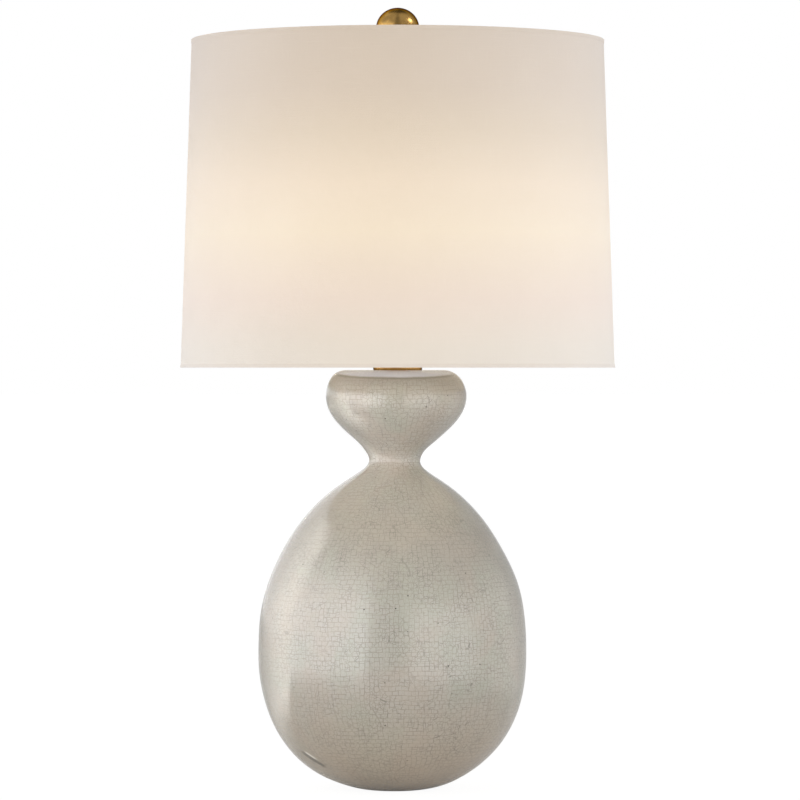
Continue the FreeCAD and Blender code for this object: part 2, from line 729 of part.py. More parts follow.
def build_bulb():
    """Bulb: contact tip, insulator, cap, globe, stem and filament."""
    tip_base = core_top + mm.contact_height + mm.screw_gap
    insulator_base = tip_base + mm.bulb_tip_height
    cap_base = insulator_base + mm.insulator_height
    cap_rim = cap_base + mm.bulb_cap_height
    glass_base = cap_rim - mm.bulb_cap_height / 3
    ring("bulb_tip", length(0), mm.bulb_tip_radius, tip_base, mm.bulb_tip_height)
    turned(
        "bulb_insulator",
        (length(0), insulator_base),
        (mm.bulb_tip_radius, insulator_base),
        (mm.insulator_radius, cap_base),
        (length(0), cap_base),
    )
    cap_inner = mm.bulb_thread - mm.bulb_cap_wall
    cap_hole = mm.insulator_radius - mm.bulb_cap_wall
    turned(
        "bulb_cap",
        (cap_hole, cap_base),
        (mm.bulb_thread, cap_base),
        (mm.bulb_thread, cap_rim),
        (cap_inner, cap_rim),
        (cap_inner, cap_base + mm.bulb_cap_wall),
        (cap_hole, cap_base + mm.bulb_cap_wall),
    )
    neck = cap_inner - mm.nest_gap
    inner_neck = neck - mm.glass_wall
    inner_globe = mm.globe_radius - mm.glass_wall
    middle = cap_rim + mm.globe_rise
    neck_handle = cap_rim + mm.globe_rise / 3
    globe_handle = middle - mm.globe_rise / 2
    turned(
        "bulb_globe",
        (neck, glass_base),
        (neck, cap_rim),
        Curve((neck, neck_handle), (mm.globe_radius, globe_handle), (mm.globe_radius, middle)),
        *dome(mm.globe_radius, mm.globe_radius, middle),
        (length(0), middle + inner_globe),
        Curve(
            (QUARTER_ARC * inner_globe, middle + inner_globe),
            (inner_globe, middle + QUARTER_ARC * inner_globe),
            (inner_globe, middle),
        ),
        Curve((inner_globe, globe_handle), (inner_neck, neck_handle), (inner_neck, cap_rim)),
        (inner_neck, glass_base),
    )
    stem_top = glass_base + mm.stem_height
    stem_radius = inner_neck / 4
    flange = inner_neck - mm.nest_gap
    turned(
        "bulb_stem",
        (length(0), glass_base),
        (flange, glass_base),
        (flange, glass_base + mm.glass_wall),
        (stem_radius, glass_base + mm.stem_height / 3),
        (stem_radius, stem_top),
        (length(0), stem_top),
    )
    foot = stem_radius / 2
    bend = stem_top + mm.filament_rise / 2
    crest = stem_top + mm.filament_rise
    filament = new_body("bulb_filament")
    for side in (1, -1):
        low = side * foot
        high = side * mm.filament_span
        support = Curve((low, bend), (high, bend), (high, crest))
        add_wire(filament, mm.filament_wire, (low, stem_top), support)
    size = (mm.filament_wire, 2 * mm.filament_span)
    add_round(filament, "Pad", "YZ_Plane", (0, crest), *size, lift=-mm.filament_span)


# Harp

def build_harp():
    """Two wires in a top plate, a locking sleeve on each leg, and the swivelling stud."""
    waist = leg_base + mm.harp_waist_height
    leg_top = leg_base + mm.leg_length
    sleeve_base = tab_base + mm.saddle_thickness + mm.lift_gap
    sleeve_bore = mm.harp_wire + mm.sleeve_gap
    sleeve_outer = sleeve_bore + mm.sleeve_wall
    for name, side in (("right", 1), ("left", -1)):
        wire = new_body(f"harp_wire_{name}")
        add_wire(
            wire,
            mm.harp_wire,
            (mm.leg_offset, leg_base),
            (mm.leg_offset, leg_top),
            Curve(
                (mm.leg_offset, leg_top + mm.harp_spring),
                (mm.harp_half_width, waist - mm.harp_spring),
                (mm.harp_half_width, waist),
            ),
            Curve(
                (mm.harp_half_width, waist + mm.harp_shoulder),
                (mm.plate_length + mm.harp_crest, plate_middle),
                (mm.plate_length, plate_middle),
            ),
            (mm.plate_grip, plate_middle),
        )
        place(wire, turn=Rotation(Vector(0, 0, 1), 90 - 90 * side))
        sleeve = ring(
            f"sleeve_{name}", sleeve_bore, sleeve_outer, sleeve_base, mm.sleeve_length
        )
        place(sleeve, x=side * mm.leg_offset)

    plate = new_body("harp_plate")
    outline = [
        (-mm.plate_length, plate_base),
        (mm.plate_length, plate_base),
        (mm.plate_length, plate_top),
        (-mm.plate_length, plate_top),
    ]
    add_block(plate, "Pad", outline, mm.plate_width)
    doc.recompute()
    stud_hole = mm.stud_radius + mm.swivel_gap
    add_round(plate, "Pocket", "XY_Plane", (0, 0), stud_hole, mm.plate_thickness, plate_top)
    doc.recompute()
    wire_hole = mm.harp_wire + mm.thread_gap
    depth = mm.plate_length - mm.plate_grip + mm.lift_gap
    end = (0, plate_middle)
    add_round(plate, "Pocket", "YZ_Plane", end, wire_hole, depth, mm.plate_length)
    doc.recompute()
    add_round(plate, "Pocket", "YZ_Plane", end, wire_hole, depth, -mm.plate_length, reverse=True)

    head_top = plate_base - mm.swivel_gap
    disc_base = plate_top + mm.swivel_gap
    turned(
        "harp_stud",
        (length(0), head_top - mm.stud_head_height),
        (mm.stud_head_radius, head_top - mm.stud_head_height),
        (mm.stud_head_radius, head_top),
        (mm.stud_radius, head_top),
        (mm.stud_radius, disc_base),
        (mm.stud_disc_radius, disc_base),
        (mm.stud_disc_radius, stud_disc_top),
        (mm.stud_radius, stud_disc_top),
        (mm.stud_radius, stud_top),
        (length(0), stud_top),
    )


# Shade: every layer is a cone, so a place is a level above the bottom edge and a depth
# inward from the outside.

shade_lean = mm.shade_taper / mm.shade_height
linen_depth = mm.hem_tape + mm.cloth_gap
liner_depth = linen_depth + mm.linen_thickness + mm.cloth_gap
ring_depth = liner_depth + mm.liner_thickness + mm.cloth_gap + mm.ring_wire
hem_depth = ring_depth + mm.ring_wire + mm.cloth_gap
panel_edge = mm.hem_tape + mm.cloth_gap
ring_level = panel_edge + mm.ring_wire


def shade_point(level, depth):
    """A point of the shade's section."""
    radius = mm.shade_bottom_radius - shade_lean * level - depth
    return radius, shade_base + level


def shade_layer(depth, thickness, low, high):
    """The four corners of a layer of the shade."""
    return [
        shade_point(low, depth + thickness),
        shade_point(low, depth),
        shade_point(high, depth),
        shade_point(high, depth + thickness),
    ]


def build_shade():
    """Linen panel on its liner, hems over two wire rings, rear seam and the spider."""
    top = mm.shade_height
    panel_top = top - panel_edge
    turned("shade_linen", *shade_layer(linen_depth, mm.linen_thickness, panel_edge, panel_top))
    turned("shade_liner", *shade_layer(liner_depth, mm.liner_thickness, panel_edge, panel_top))
    turned(
        "shade_bottom_hem",
        shade_point(length(0), length(0)),
        shade_point(mm.hem_fold, length(0)),
        shade_point(mm.hem_fold, mm.hem_tape),
        shade_point(mm.hem_tape, mm.hem_tape),
        shade_point(mm.hem_tape, hem_depth),
        shade_point(mm.hem_inside, hem_depth),
        shade_point(mm.hem_inside, hem_depth + mm.hem_tape),
        shade_point(length(0), hem_depth + mm.hem_tape),
    )
    turned(
        "shade_top_hem",
        shade_point(top, length(0)),
        shade_point(top - mm.hem_fold, length(0)),
        shade_point(top - mm.hem_fold, mm.hem_tape),
        shade_point(top - mm.hem_tape, mm.hem_tape),
        shade_point(top - mm.hem_tape, hem_depth),
        shade_point(top, hem_depth),
    )
    for name, level in (("bottom", ring_level), ("top", top - ring_level)):
        wire = doc.addObject("Part::Torus", f"shade_{name}_ring")
        wire.Label = f"shade_{name}_ring"
        radius, height = shade_point(level, ring_depth)
        wire.setExpression("Radius1", radius.formula)
        wire.setExpression("Radius2", mm.ring_wire.formula)
        wire.setExpression("Placement.Base.z", height.formula)
        nodes.append(wire)

    seam = new_body("shade_seam")
    low = mm.hem_fold + mm.cloth_gap
    strip = shade_layer(mm.cloth_gap, mm.hem_tape - mm.cloth_gap, low, top - low)
    add_turn(seam, "Revolution", *strip, degrees=mm.seam_angle).Midplane = True
    place(seam, turn=Rotation(Vector(0, 0, 1), REAR))
    build_spider(*shade_point(top - ring_level, ring_depth))


def build_spider(ring_radius, ring_height):
    """Washer with three spokes that rise to the top ring."""
    spider = new_body("shade_spider")
    start = mm.washer_radius - mm.spoke_bite
    start_height = spider_base + mm.ring_wire
    third = (mm.spoke_bend - start) / 3
    path = new_sketch(spider, "XZ_Plane")
    steps = [
        Curve(
            (start + third, start_height),
            (mm.spoke_bend - third, ring_height),
            (mm.spoke_bend, ring_height),
        ),
        (ring_radius - mm.ring_wire - mm.thread_gap, ring_height),
    ]
    draw_steps(path, (start, start_height), steps, False)
    section = new_sketch(spider, "YZ_Plane", start)
    draw_circle(section, (0, start_height), mm.ring_wire)
    spoke = spider.newObject("PartDesign::AdditivePipe", "spoke")
    spoke.Profile = section
    spoke.Spine = path
    doc.recompute()
    axis = [item for item in spider.Origin.OriginFeatures if item.Role == "Z_Axis"][0]
    spokes = spider.newObject("PartDesign::PolarPattern", "spokes")
    spokes.Originals = [spoke]
    spokes.Axis = (axis, [""])
    spokes.Angle = 360.0
    spokes.Occurrences = SPOKES
    spider.Tip = spokes
    doc.recompute()
    washer = (mm.washer_radius, mm.washer_thickness)
    add_round(spider, "Pad", "XY_Plane", (0, 0), *washer, lift=spider_base)
    doc.recompute()
    hole = (mm.washer_hole, mm.washer_thickness)
    add_round(spider, "Pocket", "XY_Plane", (0, 0), *hole, lift=spider_base + mm.washer_thickness)
    place(spider, turn=Rotation(Vector(0, 0, 1), REAR))


# Finial

def dome(radius, half_height, middle):
    """Upper half of a round outline, from its equator to its top on the axis."""
    top = middle + half_height
    return [
        Curve(
            (radius, middle + QUARTER_ARC * half_height),
            (QUARTER_ARC * radius, top),
            (length(0), top),
        )
    ]


def build_finial():
    """Brass ball on a collar, with its threaded insert."""
    insert_bore = mm.stud_radius + mm.thread_gap
    insert_outer = insert_bore + mm.insert_wall
    ring("finial_insert", insert_bore, insert_outer, finial_base, mm.insert_length)
    pocket = insert_outer + mm.thread_gap
    pocket_top = finial_base + mm.insert_length + mm.thread_gap
    middle = finial_base + mm.finial_centre
    collar_top = finial_base + mm.collar_height
    half = mm.finial_half_height
    turned(
        "finial_ball",
        (pocket, finial_base),
        (mm.collar_radius, finial_base),
        (mm.collar_radius, collar_top),
        (mm.collar_neck, collar_top),
        (mm.collar_neck, middle - BALL_FOOT * half),
        Curve(
            (BALL_HANDLE[0] * mm.finial_radius, middle - BALL_HANDLE[1] * half),
            (mm.finial_radius, middle - BALL_START * half),
            (mm.finial_radius, middle),
        ),
        *dome(mm.finial_radius, half, middle),
        (length(0), pocket_top),
        (pocket, pocket_top),
    )


build_foot()
build_gourd()
build_neck()
build_saddle()
build_socket()
build_switch()
build_bulb()
build_harp()
build_shade()
build_finial()
doc.recompute()

for item in doc.Objects:
    if "Invalid" in item.State or "Error" in item.State:
        raise RuntimeError(f"{item.Name} failed: {item.State}")
for node in nodes:
    if node.Shape.isNull() or not node.Shape.isValid():
        raise RuntimeError(f"{node.Label} has no valid shape")

os.makedirs("parts", exist_ok=True)
for node in nodes:
    node.Shape.exportStep(f"parts/{node.Label}.step")
    print(f"{node.Label}: {len(node.Shape.Solids)} solid, {node.Shape.Volume / 1000:.2f} cm3")
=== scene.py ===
"""Looks of a table lamp with a double gourd base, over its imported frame."""

import logging
import math
from dataclasses import dataclass
from enum import Enum
from typing import Any, Callable, Iterable, Optional, Sequence, Union

import bmesh
import bpy
from mathutils import Matrix, Vector, noise

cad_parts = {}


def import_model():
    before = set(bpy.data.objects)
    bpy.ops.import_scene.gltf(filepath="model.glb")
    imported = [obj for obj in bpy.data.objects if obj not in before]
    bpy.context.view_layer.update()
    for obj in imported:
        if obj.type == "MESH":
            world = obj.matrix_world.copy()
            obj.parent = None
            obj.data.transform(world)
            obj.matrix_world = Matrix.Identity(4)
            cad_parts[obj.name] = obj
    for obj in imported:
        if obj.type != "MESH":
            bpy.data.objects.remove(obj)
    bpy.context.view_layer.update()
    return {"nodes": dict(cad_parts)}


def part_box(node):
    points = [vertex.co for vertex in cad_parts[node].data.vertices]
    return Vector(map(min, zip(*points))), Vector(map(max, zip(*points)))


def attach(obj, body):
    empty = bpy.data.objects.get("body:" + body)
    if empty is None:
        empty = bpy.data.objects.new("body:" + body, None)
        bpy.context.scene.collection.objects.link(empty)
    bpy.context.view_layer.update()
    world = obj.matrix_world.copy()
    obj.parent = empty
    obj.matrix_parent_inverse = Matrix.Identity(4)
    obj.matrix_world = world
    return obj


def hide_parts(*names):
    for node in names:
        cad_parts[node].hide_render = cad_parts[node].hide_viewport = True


log = logging.getLogger("lamp")

Point = tuple[float, float]
Triple = tuple[float, float, float]
Colour = tuple[float, float, float, float]
Glow = tuple[tuple[float, Colour], ...]
Piece = bpy.types.Object
MM = 0.001
# Below this radius, in metres, a point lies on the axis
ON_AXIS = 1e-9
# Turned and drawn pieces, and pieces from node trees, have sharp edges over these angles
SHARP = 35
NODE_SHARP = 40
BLACK = (0.0, 0.0, 0.0, 1.0)
WHITE = (1.0, 1.0, 1.0, 1.0)


def srgb(red: float, green: float, blue: float) -> Colour:
    """Turns a colour as seen, 0 to 255, into a shader's linear colour.

    Args:
        red, green, blue: The colour's parts.
    Returns:
        The linear colour with full alpha.
    """
    parts = [c / 255 for c in (red, green, blue)]
    linear = [c / 12.92 if c <= 0.04045 else ((c + 0.055) / 1.055) ** 2.4 for c in parts]
    return linear[0], linear[1], linear[2], 1.0


def cubic(start: Point, first: Point, second: Point, end: Point, steps: int) -> list[Point]:
    """Points of one cubic curve, without its start.

    Args:
        start, first, second, end: The curve's four poles.
        steps: How many points it gives.
    Returns:
        The points in order, the last one being end.
    """
    points = []
    for i in range(1, steps + 1):
        t = i / steps
        u = 1 - t
        weights = (u * u * u, 3 * u * u * t, 3 * u * t * t, t * t * t)
        poles = (start, first, second, end)
        points.append(tuple(sum(w * p[k] for w, p in zip(weights, poles)) for k in (0, 1)))
    return points


def chain(start: Point, *curves: tuple[Point, Point, Point, int]) -> list[Point]:
    """Points of cubic curves joined end to end.

    Args:
        start: Where the first curve begins.
        curves: The other three poles of each, and how many points it gives.
    Returns:
        The points in order, from start on.
    """
    points = [start]
    for first, second, end, steps in curves:
        points += cubic(points[-1], first, second, end, steps)
    return points


def metres(section: Iterable[Point]) -> list[Point]:
    """A section in mm turned into metres."""
    return [(radius * MM, height * MM) for radius, height in section]


def between(table: Sequence[Point], place: float) -> float:
    """Reads a value from a table of (place, value) pairs, smoothly between its rows.

    Args:
        table: Pairs in rising order of place.
        place: Where the value is wanted.
    Returns:
        The value there; beyond the table's ends, the end's value.
    """
    if place <= table[0][0]:
        return table[0][1]
    for (low, a), (high, b) in zip(table, table[1:]):
        if place <= high:
            t = (place - low) / (high - low)
            return a + (b - a) * t * t * (3 - 2 * t)
    return table[-1][1]


# Node trees


def maths(operation: str, swapped: bool = False) -> Callable[..., "Signal"]:
    """Makes a method that puts a signal, and what it is given, through a Math node.

    Args:
        operation: The node's operation.
        swapped: Whether the signal comes last.
    Returns:
        The method.
    """

    def apply(self: "Signal", *others: Any) -> "Signal":
        """The node's result."""
        values = (*others, self) if swapped else (self, *others)
        return self.graph.node("ShaderNodeMath", {"operation": operation}, dict(enumerate(values)))

    return apply


@dataclass(eq=False)
class Signal:
    """A socket of a graph's node tree that takes Python's operators."""

    graph: "Graph"
    socket: bpy.types.NodeSocket

    __add__ = maths("ADD")
    __radd__ = maths("ADD", swapped=True)
    __sub__ = maths("SUBTRACT")
    __rsub__ = maths("SUBTRACT", swapped=True)
    __mul__ = maths("MULTIPLY")
    __rmul__ = maths("MULTIPLY", swapped=True)
    __truediv__ = maths("DIVIDE")
    __pow__ = maths("POWER")
    times_plus = maths("MULTIPLY_ADD")
    sine = maths("SINE")
    cosine = maths("COSINE")
    arcsine = maths("ARCSINE")
    bearing = maths("ARCTAN2")
    snapped = maths("SNAP")
    least = maths("MINIMUM")
    most = maths("MAXIMUM")
    above = maths("GREATER_THAN")

    def step(self, low: float, high: float, start: float = 0.0, end: float = 1.0) -> "Signal":
        """Goes smoothly from start at low to end at high, and stays there outside."""
        limits = {0: self, 1: low, 2: high, 3: start, 4: end}
        return self.graph.node("ShaderNodeMapRange", {"interpolation_type": "SMOOTHSTEP"}, limits)

    def fall(self, low: float, high: float) -> "Signal":
        """Goes smoothly from 1 at low to 0 at high."""
        return self.step(low, high, 1.0, 0.0)

    def beside(self, output: Union[int, str]) -> "Signal":
        """Another output of the same node."""
        return Signal(self.graph, self.socket.node.outputs[output])


class Graph:
    """A node tree, empty at first."""

    def __init__(self, tree: bpy.types.NodeTree) -> None:
        """Empties tree and keeps it."""
        self.tree = tree
        tree.nodes.clear()

    def node(
        self,
        kind: str,
        settings: Optional[dict[str, Any]] = None,
        inputs: Optional[dict[Union[int, str], Any]] = None,
        output: Union[int, str] = 0,
    ) -> Signal:
        """Adds any node.

        Args:
            kind: The node's type.
            settings: Its properties, set first; "stops" are a ramp's (place, colour) pairs.
            inputs: Values, signals to link, or lists of these, by socket index or name.
            output: The socket that the result wraps.
        Returns:
            That output as a signal.
        """
        made = self.tree.nodes.new(kind)
        for name, value in (settings or {}).items():
            if name == "stops":
                self._set_stops(made.color_ramp, value)
            else:
                setattr(made, name, value)
        for key, value in (inputs or {}).items():
            if isinstance(key, int):
                socket = made.inputs[key]
            else:
                socket = next(s for s in made.inputs if s.name == key and s.enabled)
            for source in value if isinstance(value, list) else [value]:
                if isinstance(source, Signal):
                    self.tree.links.new(source.socket, socket)
                else:
                    socket.default_value = source
        return Signal(self, made.outputs[output] if len(made.outputs) else None)

    def make(self, kind: str, **sockets: Any) -> Signal:
        """Adds a node from its inputs, with an underscore for each blank of a name."""
        return self.node(kind, inputs={key.replace("_", " "): sockets[key] for key in sockets})

    def _set_stops(self, ramp: bpy.types.ColorRamp, stops: Sequence[tuple[float, Colour]]) -> None:
        """Gives a ramp its (place, colour) pairs."""
        while len(ramp.elements) > 1:
            ramp.elements.remove(ramp.elements[-1])
        for i, (place, colour) in enumerate(stops):
            element = ramp.elements[0] if i == 0 else ramp.elements.new(place)
            element.position = place
            element.color = colour

    def place(self) -> Signal:
        """The point on the object, in metres in its own frame."""
        return self.node("ShaderNodeTexCoord", output="Object")

    def weave_place(self) -> Signal:
        """The point on the cloth, in metres along and across its threads."""
        return self.node("ShaderNodeUVMap", {"uv_map": "weave"})

    def parts(self, vector: Signal) -> tuple[Signal, Signal, Signal]:
        """The three parts of a vector."""
        split = self.make("ShaderNodeSeparateXYZ", Vector=vector)
        return split, split.beside(1), split.beside(2)

    def join(self, x: Any, y: Any, z: Any) -> Signal:
        """A vector from three values."""
        return self.make("ShaderNodeCombineXYZ", X=x, Y=y, Z=z)

    def vector(self, operation: str, *values: Any, output: Union[int, str] = 0) -> Signal:
        """Vector maths over values."""
        inputs = dict(enumerate(values))
        return self.node("ShaderNodeVectorMath", {"operation": operation}, inputs, output)

    def noise(
        self, vector: Signal, scale: float, detail: float = 2.0, rough: float = 0.5,
        twist: float = 0.0,
    ) -> Signal:
        """Noise from 0 to 1, with scale grains per metre and detail octaves, warped by twist."""
        return self.make(
            "ShaderNodeTexNoise",
            Vector=vector, Scale=scale, Detail=detail, Roughness=rough, Distortion=twist,
        )

    def cells(
        self, vector: Signal, scale: float, feature: str = "F1", output: str = "Distance"
    ) -> Signal:
        """Voronoi cells, scale of them per metre, by F1 or DISTANCE_TO_EDGE."""
        inputs = {"Vector": vector, "Scale": scale}
        return self.node("ShaderNodeTexVoronoi", {"feature": feature}, inputs, output)

    def blend(self, below: Any, above: Any, share: Any) -> Signal:
        """Mixes two colours, with a share of the one above."""
        inputs = {0: share, 6: below, 7: above}
        return self.node("ShaderNodeMix", {"data_type": "RGBA"}, inputs, 2)

    def layers(self, base: Any, *coats: tuple[Any, Any]) -> Signal:
        """Lays colours over a base one by one, each with its share."""
        for colour, share in coats:
            base = self.blend(base, colour, share)
        return base

    def ramp(self, value: Signal, *stops: tuple[float, Colour]) -> Signal:
        """A colour for each value, from stops of (place, colour)."""
        return self.node("ShaderNodeValToRGB", {"stops": stops}, {0: value})

    def bump(self, height: Signal, depth: float, below: Optional[Signal] = None) -> Signal:
        """A normal bent by a height from 0 to 1, where 1 is depth metres, over another bump."""
        under = {} if below is None else {"Normal": below}
        return self.make("ShaderNodeBump", Height=height, Distance=depth, Strength=1.0, **under)

    def coated(self, **sockets: Any) -> Signal:
        """A Principled shader with values or signals for its sockets."""
        return self.make("ShaderNodeBsdfPrincipled", **sockets)

    def finish(self, shader: Signal) -> None:
        """Links shader to the material's output."""
        self.make("ShaderNodeOutputMaterial", Surface=shader)


def new_material(name: str) -> tuple[bpy.types.Material, Graph]:
    """A new material and its empty tree."""
    stuff = bpy.data.materials.new(name)
    stuff.use_nodes = True
    return stuff, Graph(stuff.node_tree)


@dataclass(frozen=True)
class Finish:
    """What every finish has: a name and the record's material slot."""

    name: str
    slot: str

    def material(self) -> bpy.types.Material:
        """The finish's material, made once."""
        found = bpy.data.materials.get(self.name)
        if found is None:
            found, graph = new_material(self.name)
            graph.finish(self.surface(graph))
        return found

    def surface(self, graph: Graph) -> Signal:
        """Builds the finish's nodes.

        Args:
            graph: The material's tree.
        Returns:
            The shader.
        """
        raise NotImplementedError


@dataclass(frozen=True)
class CrackleGlaze(Finish):
    """Pale glaze with a net of fine cracks, pinholes and a few fired specks."""

    pale: Colour = srgb(187, 181, 170)
    green: Colour = srgb(180, 179, 165)
    warm: Colour = srgb(186, 175, 162)
    # Painted shade: the lower bulb's upward-facing shoulder drawn darker, standing in for the
    # shadow under the shade
    painted_shoulder_shade: Colour = srgb(164, 157, 144)
    toasted: Colour = srgb(194, 176, 154)
    dust: Colour = srgb(158, 151, 138)
    # Painted reflection: pale glaze over the top rim, standing in for the lit shade and backdrop
    # mirrored there
    painted_rim_reflection: Colour = srgb(214, 213, 220)
    # Painted shade: a darker band just under the painted reflection at the top rim
    painted_rim_shade: Colour = srgb(128, 121, 108)
    crack: Colour = srgb(106, 101, 90)
    pit: Colour = srgb(56, 52, 45)
    # Painted shade in the hollow under the glaze roll
    hollow: Colour = srgb(104, 97, 84)
    # Painted highlight along the top of the glaze roll
    painted_roll_highlight: Colour = srgb(240, 236, 226)
    cell: float = 0.0048
    long_cell: float = 0.022
    block: Point = (0.0058, 0.0044)
    hair: float = 0.0002
    holes: float = 105.0
    specks: float = 46.0
    # Over this level on the axis the glaze is painted pale as a painted reflection, with a band of
    # painted shade below it; and the level's rise per metre rearwards
    rim: float = 0.3898
    tip: float = 0.075
    # The ends of the line along which the glaze ran
    roll: tuple[Triple, ...] = ((0.0, 0.0, 0.0), (0.0, 0.0, 0.0))

    def surface(self, graph: Graph) -> Signal:
        """The glaze's shader."""
        place = graph.place()
        drift = graph.noise(place, 55.0, 3.0, 0.6)
        sway = graph.node(
            "ShaderNodeTexNoise", inputs={"Vector": place, "Scale": 70.0, "Detail": 2.0},
            output="Color",
        )
        lines = self.cracks(graph, place, sway)
        marks = self.spots(graph, place, self.holes, 0.055, 0.075, 0, 0.74)
        marks = marks.most(self.spots(graph, place, self.specks, 0.018, 0.032, 1, 0.8))
        cloud = graph.noise(place, 15.0, 3.0, 0.55, 0.4)
        grain = graph.noise(place, 900.0, 2.0, 0.6)
        _, depth, level = graph.parts(place)
        # laid marks the lower bulb's upward-facing shoulder, which gets painted shade
        laid = level.step(0.17, 0.235) * level.fall(0.25, 0.3)
        # Height over the top rim's level, which rises rearwards; the painted reflection lies above
        # it
        over = level - depth * self.tip - self.rim + (drift - 0.5) * 0.0012
        # edge and fade mark a band of painted shade just under the top rim
        edge = over.step(-0.0042, -0.0012) * over.fall(-0.0012, 0.0)
        fade = over.step(-0.016, -0.002)
        # The roll's height, the painted shade under it and the painted highlight along it
        fold, hollow, painted_roll_highlight = self.fold(graph, place)
        base = graph.layers(
            self.green,
            (self.warm, cloud.step(0.38, 0.62)),
            (self.pale, drift.step(0.3, 0.75, 0.15, 0.85)),
            (self.toasted, level.step(0.0, 0.11, 0.7, 0.0)),
            (self.painted_shoulder_shade, laid * drift.step(0.2, 0.8, 0.4, 0.75)),
            (self.dust, grain.step(0.52, 0.8, 0.0, 0.22)),
            (self.crack, lines * drift.step(0.3, 0.7, 0.6, 1.0)),
            (self.pit, marks * 0.95),
            (self.painted_rim_shade, edge.most(fade * 0.45) * 0.75),
            (self.painted_rim_reflection, over.step(-0.0012, 0.0006) * 0.9),
            # Painted shade under the roll
            (self.hollow, hollow * 0.85),
            (self.painted_roll_highlight, painted_roll_highlight * 0.9),
        )
        normal = graph.bump(graph.noise(place, 34.0, 1.0, 0.4), 0.0005)
        normal = graph.bump(fold, 0.0009, normal)
        normal = graph.bump(grain, 0.00002, normal)
        normal = graph.bump(1 - lines.most(marks), 0.00008, normal)
        return graph.coated(
            Base_Color=base, Roughness=drift.step(0.3, 0.8, 0.16, 0.24) + lines * 0.15, IOR=1.5,
            Normal=normal, Coat_Weight=0.7, Coat_Roughness=0.04, Coat_IOR=1.5,
        )

    def spots(
        self, graph: Graph, place: Signal, scale: float, core: float, edge: float, part: int,
        rare: float,
    ) -> Signal:
        """Dots scattered one to a cell, in some of the cells.

        Args:
            graph: The tree.
            place: The point on the object.
            scale: Cells per metre.
            core, edge: Where a dot starts to fade and ends, as shares of a cell.
            part: The part of the cell's random colour that picks it.
            rare: A cell has a dot if that part is over this.
        Returns:
            1 on the dots.
        """
        dots = graph.cells(place, scale)
        tint = graph.parts(graph.cells(place, scale, output="Color"))[part]
        return dots.fall(core, edge) * tint.above(rare)

    def cracks(self, graph: Graph, place: Signal, sway: Signal) -> Signal:
        """The net of cracks: long ones, fine cells in patches, and rows of blocks.

        Args:
            graph: The tree.
            place: The point on the object.
            sway: Noise that bends the cracks.
        Returns:
            1 on the cracks.
        """
        warped = graph.vector("MULTIPLY_ADD", sway, (0.0012, 0.0012, 0.0012), place)
        wide = graph.cells(warped, 1 / self.long_cell, "DISTANCE_TO_EDGE")
        fine = graph.cells(warped, 1 / self.cell, "DISTANCE_TO_EDGE")
        held = graph.noise(place, 120.0, 3.0, 0.6).step(0.36, 0.52, 0.25, 1.0)
        patch = graph.noise(place, 30.0, 2.0, 0.5)
        which = graph.noise(graph.vector("MULTIPLY", place, (1.0, 1.0, 1.6)), 44.0, 1.0, 0.5)
        courses, columns = self.blocks(graph, place, sway)
        lines = wide.step(0.002, 0.010, 0.4, 0.0)
        lines = lines.most(fine.step(0.010, 0.034, 0.78, 0.0) * patch.step(0.44, 0.54, 1.0, 0.3))
        lines = lines.most(courses * which.step(0.44, 0.50) * 0.9 * held)
        return lines.most(columns * which.fall(0.49, 0.55) * 0.9 * held)

    def fold(self, graph: Graph, place: Signal) -> tuple[Signal, Signal, Signal]:
        """A roll where the glaze ran and set, low on the left of the body.

        Args:
            graph: The tree.
            place: The point on the object.
        Returns:
            The roll's height, and how far a point lies in the painted shade under it or in the
            painted highlight along its top.
        """
        first, last = (Vector(point) for point in self.roll)
        way = last - first
        reach = graph.vector("SUBTRACT", place, tuple(first))
        along = tuple(way / way.length_squared)
        share = graph.vector("DOT_PRODUCT", reach, along, output="Value").most(0.0).least(1.0)
        nearest = graph.node(
            "ShaderNodeVectorMath", {"operation": "SCALE"}, {0: tuple(way), "Scale": share}
        )
        off = graph.vector("SUBTRACT", reach, nearest)
        span = graph.vector("LENGTH", off, output="Value")
        side = graph.parts(off)[2] + (graph.noise(place, 130.0) - 0.5) * 0.0016
        bow = (share * math.pi).sine()
        ends = share.step(0.0, 0.25) * share.fall(0.8, 1.0)
        roll = (side - 0.0008 + bow * 0.0006).step(-0.0016, 0.0006) * span.fall(0.002, 0.006)
        # Painted shade under the roll
        dark = (side + 0.0022).step(-0.0022, 0.0) * side.fall(-0.0012, 0.0008)
        # Painted highlight along the roll's top
        painted_roll_highlight = side.step(-0.0002, 0.0008) * side.fall(0.0014, 0.0028)
        painted_roll_highlight = painted_roll_highlight * share.step(0.2, 0.32) * share.fall(0.55, 0.7) * span.fall(0.004, 0.007)
        return roll * ends, dark * span.fall(0.003, 0.005) * ends, painted_roll_highlight

    def blocks(self, graph: Graph, place: Signal, sway: Signal) -> tuple[Signal, Signal]:
        """Cracks that run round and up the body, as courses and as columns of blocks.

        Args:
            graph: The tree.
            place: The point on the object.
            sway: Noise that bends the cracks.
        Returns:
            1 on the cracks of the courses, and of the columns.
        """
        x, y, _ = graph.parts(place)
        run = graph.parts(graph.weave_place())[1]
        bend_round, bend_up, _ = graph.parts(sway)
        girth = ((x * x + y * y) ** 0.5).snapped(0.012)
        along = y.bearing(x) * girth + bend_round * 0.004
        above = run + bend_up * 0.004
        scale = 100.0
        sizes = {"Scale": scale, "Mortar Size": self.hair * scale, "Mortar Smooth": 0.6,
                 "Brick Width": self.block[0] * scale, "Row Height": self.block[1] * scale}
        nets = []
        for first, second in ((along, above), (above + 0.003, along)):
            inputs = {"Vector": graph.join(first, second, 0.0), **sizes}
            stagger = {"offset": 0.42, "offset_frequency": 2}
            nets.append(graph.node("ShaderNodeTexBrick", stagger, inputs, "Fac"))
        return nets[0], nets[1]


